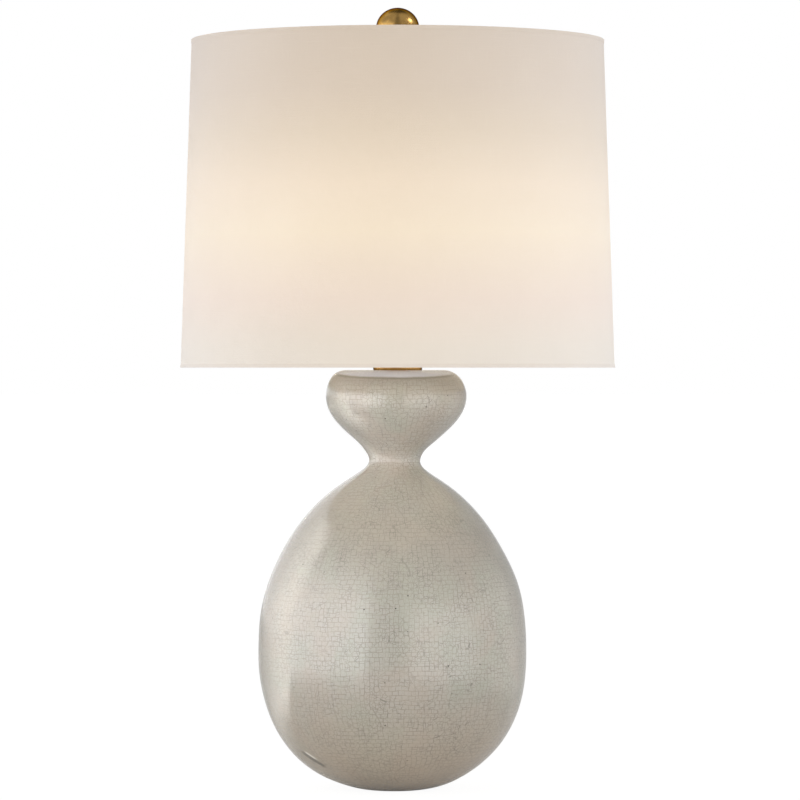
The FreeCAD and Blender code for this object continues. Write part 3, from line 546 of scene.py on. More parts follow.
@dataclass(frozen=True)
class LitSheet(Finish):
    """A sheet with painted light: an emission by a table of (share of its height, colour), standing
    in for the bulb's light through it.
    """

    glow: Glow = ((0.0, BLACK),)
    low: float = 0.3938
    high: float = 0.6994

    def light(self, graph: Graph, shift: Any = 0.0) -> Signal:
        """The painted light's colour, with the table moved down by shift."""
        level = (graph.parts(graph.place())[2] - self.low) / (self.high - self.low)
        return graph.ramp(level + shift, *self.glow)


@dataclass(frozen=True)
class Linen(LitSheet):
    """Plain-woven linen with slubs."""

    thread: Colour = srgb(226, 213, 196)
    shade: Colour = srgb(209, 194, 176)
    pitch: float = 0.00085

    def surface(self, graph: Graph) -> Signal:
        """The cloth's shader."""
        along, across, _ = graph.parts(graph.weave_place())

        def streaks(first: float, second: float, seed: float) -> Signal:
            """Noise of so many grains per metre along and across the cloth."""
            return graph.noise(graph.join(along * first, across * second, seed), 1.0)

        sway = streaks(60.0, 60.0, 0.0)
        turn = 2 * math.pi / self.pitch
        warp = (along * turn + sway * 2.0).sine()
        weft = (across * turn + sway * 2.4).sine()
        over = warp * weft * 0.5 + 0.5
        slubs = streaks(28.0, 1150.0, 3.0).step(0.52, 0.78)
        slubs = slubs.most(streaks(1150.0, 34.0, 9.0).step(0.54, 0.8))
        cloud = streaks(9.0, 9.0, 1.0)
        base = graph.blend(self.shade, self.thread, over * 0.3 + cloud * 0.5 + slubs * 0.18)
        # Painted light: emission for light through the cloth, dimmer at slubs and between threads
        light = self.light(graph, (cloud - 0.5) * 0.03)
        light = graph.blend(light, BLACK, slubs * 0.04 + (1 - over) * 0.05)
        return graph.coated(
            Base_Color=base, Roughness=0.9, Specular_IOR_Level=0.2,
            Normal=graph.bump(over * 0.6 + slubs * 0.6, 0.00012), Sheen_Weight=0.35,
            Sheen_Roughness=0.45, Emission_Color=light, Emission_Strength=1.0,
        )


@dataclass(frozen=True)
class AgedBrass(Finish):
    """Turned brass with a dark patina in its hollows and fine turning marks."""

    bright: Colour = srgb(196, 146, 74)
    dull: Colour = srgb(122, 82, 34)
    rough: float = 0.26
    marks: float = 2600.0
    # Edge tint of the reflections at grazing angles, set dark: painted shade on the rims, standing
    # in for dark surroundings mirrored there
    edge: Colour = srgb(96, 48, 8)

    def surface(self, graph: Graph) -> Signal:
        """The metal's shader."""
        place = graph.place()
        cloud = graph.noise(place, 70.0, 3.0, 0.6)
        spots = graph.noise(place, 420.0, 2.0, 0.7)
        tarnish = cloud.step(0.35, 0.8, 0.05, 0.6)
        pits = spots.step(0.6, 0.78, 0.0, 0.45)
        base = graph.layers(self.bright, (self.dull, tarnish), (self.dull, pits))
        rings = graph.noise(graph.vector("MULTIPLY", place, (30.0, 30.0, self.marks)), 1.0, 2.0)
        normal = graph.bump(rings, 0.00002, graph.bump(spots, 0.00002))
        return graph.coated(
            Base_Color=base, Metallic=1.0,
            Roughness=cloud.step(0.3, 0.8, self.rough, self.rough + 0.14), Specular_Tint=self.edge,
            Normal=normal,
        )


@dataclass(frozen=True)
class PlatedSteel(Finish):
    """Zinc plated steel, faintly mottled."""

    bright: Colour = srgb(196, 196, 192)
    dull: Colour = srgb(150, 149, 143)

    def surface(self, graph: Graph) -> Signal:
        """The metal's shader."""
        place = graph.place()
        spangle = graph.noise(place, 260.0, 3.0, 0.6)
        base = graph.blend(self.dull, self.bright, spangle.step(0.3, 0.7))
        return graph.coated(
            Base_Color=base, Metallic=1.0, Roughness=spangle.step(0.2, 0.8, 0.28, 0.46),
            Normal=graph.bump(graph.noise(place, 1400.0), 0.000015),
        )


@dataclass(frozen=True)
class Moulded(Finish):
    """Moulded plastic, rubber or card: a tint with a grain of its own."""

    tint: Colour = srgb(30, 27, 25)
    other: Colour = srgb(44, 40, 37)
    rough: float = 0.42
    grain: float = 900.0
    depth: float = 0.00002

    def surface(self, graph: Graph) -> Signal:
        """The material's shader."""
        place = graph.place()
        cloud = graph.noise(place, 120.0, 3.0, 0.6)
        grain = graph.noise(place, self.grain, 2.0, 0.6)
        base = graph.blend(self.tint, self.other, cloud.step(0.3, 0.7))
        return graph.coated(
            Base_Color=base, Roughness=grain.step(0.2, 0.8, self.rough - 0.05, self.rough + 0.1),
            Normal=graph.bump(grain, self.depth),
        )


@dataclass(frozen=True)
class Felt(Finish):
    """Pressed wool felt."""

    tint: Colour = srgb(140, 132, 120)
    fibre: Colour = srgb(164, 156, 144)

    def surface(self, graph: Graph) -> Signal:
        """The felt's shader."""
        place = graph.place()
        matted = graph.noise(place, 1500.0, 4.0, 0.7, 2.0)
        cloud = graph.noise(place, 90.0, 3.0, 0.6)
        base = graph.blend(self.tint, self.fibre, matted.step(0.4, 0.7) * 0.7 + cloud * 0.2)
        return graph.coated(
            Base_Color=base, Roughness=0.95, Normal=graph.bump(matted, 0.0003), Sheen_Weight=0.5,
            Sheen_Roughness=0.5,
        )


@dataclass(frozen=True)
class LitGlass(Finish):
    """Frosted bulb glass with the filament's light in it."""

    hot: Colour = srgb(255, 238, 204)
    cool: Colour = srgb(238, 192, 134)
    centre: float = 0.532
    reach: float = 0.045

    def surface(self, graph: Graph) -> Signal:
        """The glass's shader."""
        place = graph.place()
        away = graph.vector("DISTANCE", place, (0.0, 0.0, self.centre), output="Value")
        frost = graph.noise(place, 800.0)
        rim = (away / self.reach).step(0.55, 1.4)
        light = graph.layers(self.hot, (self.cool, rim), (self.cool, frost * 0.2))
        return graph.coated(
            Base_Color=graph.blend(srgb(212, 206, 196), srgb(202, 196, 186), frost), Roughness=0.35,
            Normal=graph.bump(frost, 0.00003), Emission_Color=light, Emission_Strength=0.55,
        )


@dataclass(frozen=True)
class Styrene(LitSheet):
    """Translucent lining sheet, bright with the bulb's light and with painted light, an emission by
    height.
    """

    tint: Colour = srgb(238, 234, 226)

    def surface(self, graph: Graph) -> Signal:
        """The sheet's shader."""
        place = graph.place()
        cloud = graph.noise(place, 18.0)
        grain = graph.noise(place, 1200.0)
        return graph.coated(
            Base_Color=graph.blend(self.tint, srgb(230, 224, 212), cloud.step(0.3, 0.7)),
            Roughness=0.5, Normal=graph.bump(grain, 0.00002), Emission_Color=self.light(graph),
            Emission_Strength=1.0,
        )


# Pieces


class Body(Enum):
    """The bodies that pieces ride on."""

    BASE = "base"
    SWITCH = "switch"
    BULB = "bulb"
    HARP = "harp"
    SHADE = "shade"
    FINIAL = "finial"


def lathe(
    name: str,
    section: Sequence[Point],
    around: int,
    shift: Optional[Callable[[float, float, float], tuple[float, float]]] = None,
) -> Piece:
    """Turns a section about the Z axis into a closed skin.

    Args:
        name: The piece's name.
        section: Points (radius, height) in metres, the outside running upwards. It is a
            closed loop, or an open line whose two ends lie on the axis.
        around: Columns round the axis.
        shift: Gives (move along X, scale of the radius) for a radius, height and angle.
    Returns:
        The piece, with a UV map "weave" in metres round and along the section.
    """
    open_line = section[0][0] < ON_AXIS and section[-1][0] < ON_AXIS
    skin = bmesh.new()
    rows = []
    for radius, height in section:
        if radius < ON_AXIS:
            rows.append([skin.verts.new((0.0, 0.0, height))])
            continue
        row = []
        for i in range(around):
            angle = 2 * math.pi * i / around
            move, scale = shift(radius, height, angle) if shift else (0.0, 1.0)
            reach = radius * scale
            row.append(
                skin.verts.new((reach * math.cos(angle) + move, reach * math.sin(angle), height))
            )
        rows.append(row)
    runs = [0.0]
    for a, b in zip(section, list(section[1:]) + [section[0]]):
        runs.append(runs[-1] + math.dist(a, b))
    girth = 2 * math.pi * max(r for r, _ in section)
    cloth = skin.loops.layers.uv.new("weave")
    pairs = list(zip(range(len(rows)), range(1, len(rows))))
    if not open_line:
        pairs.append((len(rows) - 1, 0))
    for low, high in pairs:
        for i in range(around):
            j = (i + 1) % around
            a, b = rows[low], rows[high]
            corners = [(a, i, low, i), (a, j, low, i + 1), (b, j, high, i + 1), (b, i, high, i)]
            if len(a) == 1:
                corners = [(a, 0, low, i), corners[2], corners[3]]
            elif len(b) == 1:
                corners = [corners[0], corners[1], (b, 0, high, i)]
            face = skin.faces.new([row[k] for row, k, _, _ in corners])
            face.smooth = True
            for loop, (_, _, at, turn) in zip(face.loops, corners):
                run = runs[low + 1] if (at == 0 and low > 0 and high == 0) else runs[at]
                loop[cloth].uv = (girth * turn / around, run)
    bmesh.ops.recalc_face_normals(skin, faces=skin.faces)
    return as_piece(name, skin)


def put(name: str, data: Any) -> Piece:
    """A new object with its data, in the scene."""
    made = bpy.data.objects.new(name, data)
    bpy.context.scene.collection.objects.link(made)
    return made


def as_piece(name: str, skin: bmesh.types.BMesh) -> Piece:
    """Makes an object of a bmesh, with sharp edges where it turns by over SHARP degrees.

    Args:
        name: The piece's name.
        skin: Its bmesh, which is freed.
    Returns:
        The piece.
    """
    mesh = bpy.data.meshes.new(name)
    skin.to_mesh(mesh)
    skin.free()
    mesh.set_sharp_from_angle(angle=math.radians(SHARP))
    return put(name, mesh)


def settle(piece: Piece, sharp: float) -> Piece:
    """Turns a piece's modifiers into plain mesh.

    Args:
        piece: The piece.
        sharp: The angle over which its edges are sharp, in degrees.
    Returns:
        The piece.
    """
    bpy.context.view_layer.update()
    depsgraph = bpy.context.evaluated_depsgraph_get()
    mesh = bpy.data.meshes.new_from_object(piece.evaluated_get(depsgraph))
    piece.modifiers.clear()
    piece.data = mesh
    mesh.set_sharp_from_angle(angle=math.radians(sharp))
    return piece


class NodeMesh(Graph):
    """A Geometry Nodes tree that ends as one plain mesh."""

    def __init__(self, name: str) -> None:
        """Starts an empty tree for the piece called name."""
        super().__init__(bpy.data.node_groups.new(name, "GeometryNodeTree"))
        self.name = name
        self.sizes: dict[str, float] = {}
        self.tree.interface.new_socket(
            "Geometry", in_out="OUTPUT", socket_type="NodeSocketGeometry"
        )
        self.start = self.tree.nodes.new("NodeGroupInput")

    def number(self, name: str, value: float) -> Signal:
        """Adds a named size."""
        made = self.tree.interface.new_socket(name, in_out="INPUT", socket_type="NodeSocketFloat")
        self.sizes[made.identifier] = value
        return Signal(self, next(s for s in self.start.outputs if s.name == name))

    def piece(self, last: Signal) -> Piece:
        """Ends the tree and turns it into a plain mesh.

        Args:
            last: The geometry that is wanted.
        Returns:
            The piece.
        """
        real = self.make("GeometryNodeRealizeInstances", Geometry=last)
        smooth = self.make("GeometryNodeSetShadeSmooth", Geometry=real)
        stuff = bpy.data.materials.get("work") or bpy.data.materials.new("work")
        painted = self.make("GeometryNodeSetMaterial", Geometry=smooth, Material=stuff)
        self.make("NodeGroupOutput", Geometry=painted)
        holder = put(self.name, bpy.data.meshes.new(self.name + "_seed"))
        run = holder.modifiers.new("make", "NODES")
        run.node_group = self.tree
        for key, value in self.sizes.items():
            run[key] = value
        return settle(holder, NODE_SHARP)


def rounded(corners: Sequence[Triple], steps: int = 5) -> list[Point]:
    """Rounds the corners of a closed outline.

    Args:
        corners: (radius, height, rounding) of each corner, in metres.
        steps: Points in each rounding.
    Returns:
        The outline's points.
    """
    points: list[Point] = []
    count = len(corners)
    for i, (x, y, size) in enumerate(corners):
        here = Vector((x, y))
        if size <= 0:
            points.append((x, y))
            continue
        ends = []
        for other in (corners[i - 1], corners[(i + 1) % count]):
            away = Vector(other[:2]) - here
            ends.append(here + away.normalized() * min(size, away.length * 0.48))
        for k in range(steps + 1):
            t = k / steps
            spot = ends[0] * (1 - t) ** 2 + here * 2 * t * (1 - t) + ends[1] * t * t
            points.append((spot.x, spot.y))
    return points


@dataclass
class SubAssembly:
    """A group of pieces with its finishes."""

    nodes: dict[str, Piece]

    def dress(self, finish: Finish, *names: str) -> None:
        """Gives CAD nodes a finish.

        Args:
            finish: The finish.
            names: The nodes' names.
        """
        for name in names:
            for slot in self.nodes[name].material_slots:
                slot.material = finish.material()
            log.info("%s: %s", name, finish.name)

    def add(
        self,
        piece: Piece,
        body: Body,
        finish: Finish,
        stands_for: Iterable[str] = (),
    ) -> Piece:
        """Finishes a new piece and lets it ride.

        Args:
            piece: The piece, in place.
            body: The body it moves with.
            finish: Its finish.
            stands_for: The CAD nodes it replaces.
        Returns:
            The piece.
        """
        piece.data.materials.clear()
        piece.data.materials.append(finish.material())
        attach(piece, body.value)
        if stands_for:
            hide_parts(*stands_for)
        log.info("%s: %d faces, %s", piece.name, len(piece.data.polygons), finish.name)
        return piece


STEEL = PlatedSteel("zinc_plate", "steel")
BRASS = AgedBrass("aged_brass", "brass")
# The last colour is the dark edge tint: painted shade on the rims
CAST_BRASS = AgedBrass(
    "spun_brass", "brass", srgb(214, 172, 108), srgb(150, 110, 56), 0.22, 1800.0, srgb(58, 14, 2)
)
BAKELITE = Moulded("dark_phenolic", "phenolic")
RUBBER = Moulded("black_rubber", "rubber", srgb(26, 26, 25), srgb(38, 37, 35), 0.7, 600.0)
CARD = Moulded("brown_card", "card", srgb(150, 128, 100), srgb(168, 146, 116), 0.85, 1400.0)


@dataclass
class GourdBase(SubAssembly):
    """The ceramic double gourd, its felt and what is fixed in its foot."""

    around: int = 256
    glaze: Finish = CrackleGlaze(
        "crackle_glaze", "glaze", roll=((-0.0915, -0.0500, 0.0420), (-0.0640, -0.0600, 0.0255))
    )
    felt: Finish = Felt("grey_felt", "felt")
    # Sideways lean of the hand-made body: height in mm, move in mm
    lean: tuple[Point, ...] = (
        (0, -2.9), (3.5, -2.6), (8, -3.3), (12, -4.2), (18, -4.6), (29, -4.7), (46, -4.3),
        (74, -4.2), (120, -4.8), (158, -4.8), (197, -4.2), (233, -4.5), (259, -4.2),
        (292, -3.5), (315, -2.5), (326, -1.3), (371, -1.2), (380, -1.6), (391, -2.4),
    )
    # The ring that the foot stands on, and the felt let into it: radii in mm
    ring: float = 29.5
    felt_edge: float = 27.8
    # The cord's hole: radius and height in mm
    hole: Point = (4.5, 9.0)

    def outside(self) -> list[Point]:
        """The glazed outline from the foot to the flat top, in mm."""
        return chain(
            (self.ring, 0.3),
            ((60.5, 4.4), (125, 31.4), (125, 126), 60),
            ((125, 166), (121.1, 189.8), (101.6, 225.4), 40),
            ((66.3, 289.8), (23.9, 292.3), (23.9, 307), 48),
            ((23.9, 323.3), (65.8, 337.8), (65.8, 367.4), 40),
            ((65.8, 376.4), (60.6, 391.4), (45.6, 391.4), 28),
        )

    def inside(self) -> list[Point]:
        """The cavity's outline from its floor to its ceiling, in mm."""
        return chain(
            (66.0, 24.0),
            ((74, 32), (118, 35.2), (118, 126), 16),
            ((118, 163.2), (114.1, 186), (94.6, 221.6), 8),
            ((59.3, 286), (16.9, 289.5), (16.9, 307), 12),
            ((16.9, 326.1), (58.8, 340.6), (58.8, 367.4), 10),
            ((58.8, 373), (56.9, 384), (44.6, 384), 7),
        )

    def handmade(self, radius: float, height: float, angle: float) -> tuple[float, float]:
        """How far the thrown body is out of true at a point.

        Args:
            radius, height, angle: The true point, in metres and radians.
        Returns:
            The move along X, in metres, and the scale of the radius.
        """
        hold = min(1.0, max(0.0, (radius / MM - 9.5) / 6.0))
        move = between(self.lean, height / MM) * MM * hold
        swell = 0.35 * math.sin(2 * angle + height * 9.0) + 0.2 * math.sin(3 * angle - 1.0)
        size = max(radius, 0.03)
        return move, 1.0 + hold * swell * MM / size * 0.8

    def build(self) -> None:
        """Makes and dresses the base."""
        rim = [(25.0, 391.0), (9.6, 391.0), (9.0, 390.4), (9.0, 384.6), (9.6, 384.0)]
        foot = [(6.0, 24.0), (6.0, 16.0), (25.2, 16.0), (26.0, 15.2), (26.0, 2.6), (26.4, 2.1)]
        foot += [(self.felt_edge, 2.1), (self.felt_edge + 0.3, 0.9), (self.felt_edge + 0.8, 0.35)]
        section = self.outside() + rim + self.inside()[::-1] + foot
        gourd = lathe("gourd_skin", metres(section), self.around, self.handmade)
        self.bore_cord_hole(gourd)
        self.add(gourd, Body.BASE, self.glaze, ["gourd_body"])
        self.add(self.felt_disc(), Body.BASE, self.felt, ["felt_pad"])
        self.dress(RUBBER, "cord_grommet", "seat_gasket")
        self.dress(STEEL, "threaded_rod", "foot_washer", "foot_lock_washer", "foot_nut")

    def bore_cord_hole(self, gourd: Piece) -> None:
        """Cuts the cord's hole through the rear of the foot.

        Args:
            gourd: The body.
        """
        radius, height = self.hole
        drill = bmesh.new()
        place = Matrix.Translation((0.0, 0.085, height * MM)) @ Matrix.Rotation(math.pi / 2, 4, "X")
        bmesh.ops.create_cone(
            drill, cap_ends=True, segments=40, radius1=radius * MM, radius2=radius * MM,
            depth=0.13, matrix=place,
        )
        tool = as_piece("drill", drill)
        cut = gourd.modifiers.new("cord_hole", "BOOLEAN")
        cut.operation = "DIFFERENCE"
        cut.solver = "EXACT"
        cut.object = tool
        settle(gourd, SHARP)
        bpy.data.objects.remove(tool)

    def felt_disc(self) -> Piece:
        """The felt under the foot, a little ragged at its cut edge."""
        edge = self.felt_edge - 0.2
        rings = [edge * share for share in (0.25, 0.5, 0.75, 0.9, 0.98)]
        section = [(0.0, 0.0)] + [(r, 0.0) for r in rings] + [(edge, 0.4), (edge, 1.7)]
        section += [(r, 2.0) for r in rings[::-1]] + [(0.0, 2.0)]

        def ragged(radius: float, height: float, angle: float) -> tuple[float, float]:
            """Lean of the foot, and waviness of the cut edge."""
            rough = max(0.0, radius / MM - edge + 4.0) / 4.0
            spot = Vector((math.cos(angle) * 9, math.sin(angle) * 9, height * 900))
            return self.lean[0][1] * MM, 1.0 - rough * 0.006 * (1 + noise.noise(spot))

        return lathe("felt_disc", metres(section), 180, ragged)


@dataclass
class BrassNeck(SubAssembly):
    """The vase cap, neck tube, saddle and locknut. Radii and heights in mm."""

    seat: float = 391.0
    top: float = 405.0
    bore: float = 5.1
    bead: float = 23.0

    def turned_cap(self) -> Piece:
        """The bun-shaped cap on the gourd, hollow over the gasket."""
        waist = self.seat + 7.0
        flank = (self.bead - 0.1, self.seat + 2.0)
        section = [(15.2, self.seat), (21.4, self.seat)]
        section += chain(
            (21.9, self.seat + 0.08),
            ((22.6, self.seat + 0.3), (flank[0] - 0.05, self.seat + 0.9), flank, 8),
            ((self.bead, waist - 3.4), (self.bead, waist - 1.5), (self.bead, waist), 8),
            ((self.bead, waist + 4.2), (13.7, self.top), (9.6, self.top), 16),
        )
        section += [(self.bore, self.top), (self.bore, self.seat + 1.6), (15.0, self.seat + 1.6)]
        return lathe("turned_cap", metres(section), 160)

    def build(self) -> None:
        """Turns the cap and dresses the neck."""
        self.add(self.turned_cap(), Body.BASE, CAST_BRASS, ["vase_cap"])
        self.dress(CAST_BRASS, "neck_tube")
        self.dress(BRASS, "harp_saddle", "saddle_locknut")


@dataclass
class LampHolder(SubAssembly):
    """The socket, its switch and the bulb in it."""

    glass: Finish = LitGlass("lit_glass", "bulb_glass")
    stem: Finish = Moulded(
        "stem_glass", "clear_glass", srgb(226, 226, 220), srgb(214, 216, 212), 0.2, 300.0
    )

    def build(self) -> None:
        """Dresses the holder."""
        self.dress(BRASS, "socket_cap", "socket_shell", "socket_screw_shell", "socket_contact")
        self.dress(BRASS, "socket_terminals")
        self.dress(STEEL, "socket_set_screw", "switch_shaft", "bulb_cap", "bulb_tip")
        self.dress(CARD, "socket_liner")
        self.dress(BAKELITE, "socket_core", "switch_rotor", "switch_knob", "bulb_insulator")
        self.dress(self.glass, "bulb_globe")
        self.dress(self.stem, "bulb_stem")
        self.dress(STEEL, "bulb_filament")
        self.add(self.knob_ribs(), Body.SWITCH, BAKELITE)
        self.add(self.thread("rod_thread", 4.72, 5.0, 15.9, 8), Body.BASE, STEEL)
        self.add(self.thread("bulb_thread", 12.75, 465.2, 482.2, 5), Body.BULB, STEEL)

    def thread(self, name: str, radius: float, low: float, high: float, turns: int) -> Piece:
        """A rolled thread's ridge along a helix.

        Args:
            name: The piece's name.
            radius: The helix's radius, in mm.
            low, high: Its lowest and highest level, in mm.
            turns: Its turns.
        Returns:
            The ridge as a mesh.
        """
        tree = NodeMesh(name)
        wire = tree.number("Ridge", 0.28 * MM)
        path = tree.make(
            "GeometryNodeCurveSpiral", Resolution=48, Rotations=float(turns),
            Start_Radius=radius * MM, End_Radius=radius * MM, Height=(high - low) * MM,
        )
        ring = tree.make("GeometryNodeCurvePrimitiveCircle", Resolution=6, Radius=wire)
        tube = tree.make("GeometryNodeCurveToMesh", Curve=path, Profile_Curve=ring, Fill_Caps=True)
        foot = (0.0, 0.0, low * MM)
        return tree.piece(tree.make("GeometryNodeTransform", Geometry=tube, Translation=foot))

    def knob_ribs(self) -> Piece:
        """Grip ribs on both faces of the switch knob's wing."""
        low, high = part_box("switch_knob")
        deep = high.y - low.y
        tree = NodeMesh("knob_ribs")
        gap = tree.number("Spacing", 2.0 * MM)
        rib = tree.make(
            "GeometryNodeMeshCylinder", Vertices=10, Radius=0.42 * MM, Depth=deep * 0.62
        )
        row = tree.make(
            "GeometryNodeMeshLine", Count=6, Start_Location=(-5.0 * MM, 0.0, 0.0),
            Offset=tree.join(gap, 0.0, 0.0),
        )
        laid = tree.make(
            "GeometryNodeInstanceOnPoints", Points=row, Instance=rib,
            Rotation=(math.pi / 2, 0.0, 0.0),
        )
        sides = []
        for side in (-1, 1):
            spot = (0.0, low.y + deep * 0.36, (low.z + high.z) / 2 + side * 1.42 * MM)
            sides.append(tree.make("GeometryNodeTransform", Geometry=laid, Translation=spot))
        return tree.piece(tree.make("GeometryNodeJoinGeometry", Geometry=sides))


@dataclass
class Harp(SubAssembly):
    """The harp with its sleeves and stud."""

    def build(self) -> None:
        """Dresses the harp."""
        self.dress(BRASS, "harp_wire_right", "harp_wire_left", "harp_plate", "harp_stud")
        self.dress(BRASS, "sleeve_right", "sleeve_left")


@dataclass
class DrumShade(SubAssembly):
    """The tapered drum shade. Radii and levels are of its outside, in metres."""

    base: float = 0.3938
    height: float = 0.3056
    bottom: float = 0.2033
    top: float = 0.1930
    cloth: float = 0.0006
    inset: float = 0.65 * MM
    # Painted light: the glow tables below are emissions by share of height, standing in for the
    # bulb's light through the shade and for part of the studio's light on its outside
    linen: Finish = Linen(
        "slub_linen", "linen",
        glow=(
            (0.0, srgb(122, 124, 124)), (0.06, srgb(124, 124, 122)), (0.2, srgb(137, 124, 119)),
            (0.4, srgb(153, 141, 120)), (0.54, srgb(145, 131, 112)), (0.7, srgb(112, 100, 83)),
            (0.82, srgb(90, 78, 69)), (1.0, srgb(72, 63, 60)),
        ),
    )
    hem: Finish = Linen(
        "hem_linen", "linen",
        glow=(
            (0.0, srgb(112, 112, 114)), (0.15, srgb(122, 116, 112)), (0.5, srgb(138, 124, 108)),
            (0.82, srgb(86, 76, 66)), (1.0, srgb(72, 63, 60)),
        ),
    )
    lining: Finish = Styrene(
        "white_styrene", "styrene",
        glow=(
            (0.0, srgb(96, 94, 90)), (0.45, srgb(150, 142, 130)), (1.0, srgb(80, 74, 66)),
        ),
    )

    def at(self, level: float, depth: float) -> Point:
        """A point of the shade's section: level over its bottom edge, depth in from outside."""
        radius = self.bottom - (self.bottom - self.top) * level / self.height
        return radius - depth, self.base + level

    def build(self) -> None:
        """Makes and dresses the shade."""
        panel = self.panel()
        self.add(panel, Body.SHADE, self.linen, ["shade_linen"])
        lower = self.hem_band("bottom_hem_tape", 0.0, 1.0, inner=6.5 * MM)
        self.add(lower, Body.SHADE, self.hem, ["shade_bottom_hem"])
        upper = self.hem_band("top_hem_tape", self.height, -1.0, inner=0.5 * MM)
        self.add(upper, Body.SHADE, self.hem, ["shade_top_hem"])
        seam = self.seam_lap()
        self.add(seam, Body.SHADE, self.hem, ["shade_seam"])
        self.dress(self.lining, "shade_liner")
        self.dress(STEEL, "shade_top_ring", "shade_bottom_ring", "shade_spider")

    def panel(self) -> Piece:
        """The linen panel, a cone stretched over the lining, a hair off true as by hand."""
        low = self.at(self.inset, self.inset)
        high = self.at(self.height - self.inset, self.inset)
        tree = NodeMesh("linen_panel")
        low_radius = tree.number("Lower Radius", low[0])
        high_radius = tree.number("Upper Radius", high[0])
        base = tree.number("Lower Edge", low[1])
        rise = tree.number("Rise", high[1] - low[1])
        waver = tree.number("Unevenness", 0.0004)
        grid = tree.make(
            "GeometryNodeMeshGrid", Size_X=1.0, Size_Y=1.0, Vertices_X=289, Vertices_Y=97
        )
        across, up, _ = tree.parts(tree.make("GeometryNodeInputPosition"))
        turn = (across + 0.5) * (2 * math.pi)
        level = up + 0.5
        radius = low_radius + level * (high_radius - low_radius)
        east, north = turn.cosine(), turn.sine()
        spot = tree.join(east, north, level)
        rough = tree.make("ShaderNodeTexNoise", Vector=spot, Scale=2.2, Detail=1.0)
        hold = level * (1.0 - level) * 4.0
        reach = radius + (rough - 0.5) * waver * hold
        to = tree.join(reach * east, reach * north, level.times_plus(rise, base))
        threads = tree.join(turn * low_radius, level * rise, 0.0)
        kept = tree.node(
            "GeometryNodeStoreNamedAttribute", {"data_type": "FLOAT2", "domain": "CORNER"},
            {"Geometry": grid, "Name": "weave", "Value": threads},
        )
        bent = tree.make("GeometryNodeSetPosition", Geometry=kept, Position=to)
        closed = tree.make("GeometryNodeMergeByDistance", Geometry=bent, Distance=1e-6)
        panel = tree.piece(closed)
        skin = bmesh.new()
        skin.from_mesh(panel.data)
        bmesh.ops.recalc_face_normals(skin, faces=skin.faces)
        face = skin.faces[0]
        if face.normal.xy.dot(face.calc_center_median().xy) < 0:
            bmesh.ops.reverse_faces(skin, faces=skin.faces)
        skin.to_mesh(panel.data)
        skin.free()
        wall = panel.modifiers.new("cloth", "SOLIDIFY")
        wall.thickness = self.cloth
        wall.offset = -1.0
        return settle(panel, NODE_SHARP)

    def hem_band(self, name: str, edge: float, way: float, inner: float) -> Piece:
        """A folded hem over a wire ring.

        Args:
            name: The piece's name.
            edge: The level of the shade's edge there.
            way: 1 where the hem's legs go up from the edge, -1 where they go down.
            inner: The hem's length on the inside.
        Returns:
            The hem.
        """
        tape, fold, depth = 0.5 * MM, 3.4 * MM, 5.4 * MM
        corners = [
            (*self.at(edge, 0), 0.35 * MM),
            (*self.at(edge + way * fold, 0.42 * MM), 0.1 * MM),
            (*self.at(edge + way * fold, 0.62 * MM), 0.05 * MM),
            (*self.at(edge + way * tape, tape), 0.2 * MM),
            (*self.at(edge + way * tape, depth), 0.1 * MM),
        ]
        if inner > tape:
            corners += [
                (*self.at(edge + way * inner, depth), 0.1 * MM),
                (*self.at(edge + way * inner, depth + tape), 0.1 * MM),
                (*self.at(edge, depth + tape), 0.35 * MM),
            ]
        else:
            corners += [(*self.at(edge, depth), 0.2 * MM)]

        def uneven(radius: float, height: float, angle: float) -> tuple[float, float]:
            """Slight unevenness of a hem folded by hand."""
            spot = Vector((math.cos(angle) * 4, math.sin(angle) * 4, edge * 9))
            return 0.0, 1.0 - 0.0003 * (1 + noise.noise(spot))

        return lathe(name, rounded(corners, 3), 240, uneven)

    def seam_lap(self) -> Piece:
        """The lap of the linen's rear seam."""
        skin = bmesh.new()
        cloth = skin.loops.layers.uv.new("weave")
        rows, columns, half = 60, 12, math.radians(1.7)
        low, high = 3.55 * MM, self.height - 3.55 * MM
        step_u, step_v = 2 * half * self.bottom / columns, (high - low) / rows
        sheets = []
        for depth, sink in ((0.15 * MM, 0.1 * MM), (0.5 * MM, 0.0)):
            sheet = []
            for i in range(rows + 1):
                radius, z = self.at(low + (high - low) * i / rows, depth)
                row = []
                for j in range(columns + 1):
                    angle = math.pi / 2 + half * (1 - 2 * j / columns)
                    reach = radius - sink * abs(1 - 2 * j / columns) ** 6
                    spot = (reach * math.cos(angle), reach * math.sin(angle), z)
                    row.append(skin.verts.new(spot))
                sheet.append(row)
            sheets.append(sheet)

        def lay(*corners: tuple[int, int, int], u: float = step_u, v: float = step_v) -> None:
            """Adds a face by its corners' sheet, row and column, with its place on the cloth."""
            face = skin.faces.new([sheets[k][i][j] for k, i, j in corners])
            face.smooth = True
            for loop, (_, i, j) in zip(face.loops, corners):
                loop[cloth].uv = (j * u, i * v)

        for i in range(rows):
            for j in range(columns):
                lay((0, i, j), (0, i, j + 1), (0, i + 1, j + 1), (0, i + 1, j))
                lay((1, i, j), (1, i + 1, j), (1, i + 1, j + 1), (1, i, j + 1))
            for j in (0, columns):
                lay((0, i, j), (0, i + 1, j), (1, i + 1, j), (1, i, j), u=0.0)
        for j in range(columns):
            for i in (0, rows):
                lay((0, i, j), (0, i, j + 1), (1, i, j + 1), (1, i, j), v=0.0)
        bmesh.ops.recalc_face_normals(skin, faces=skin.faces)
        return as_piece("seam_lap", skin)


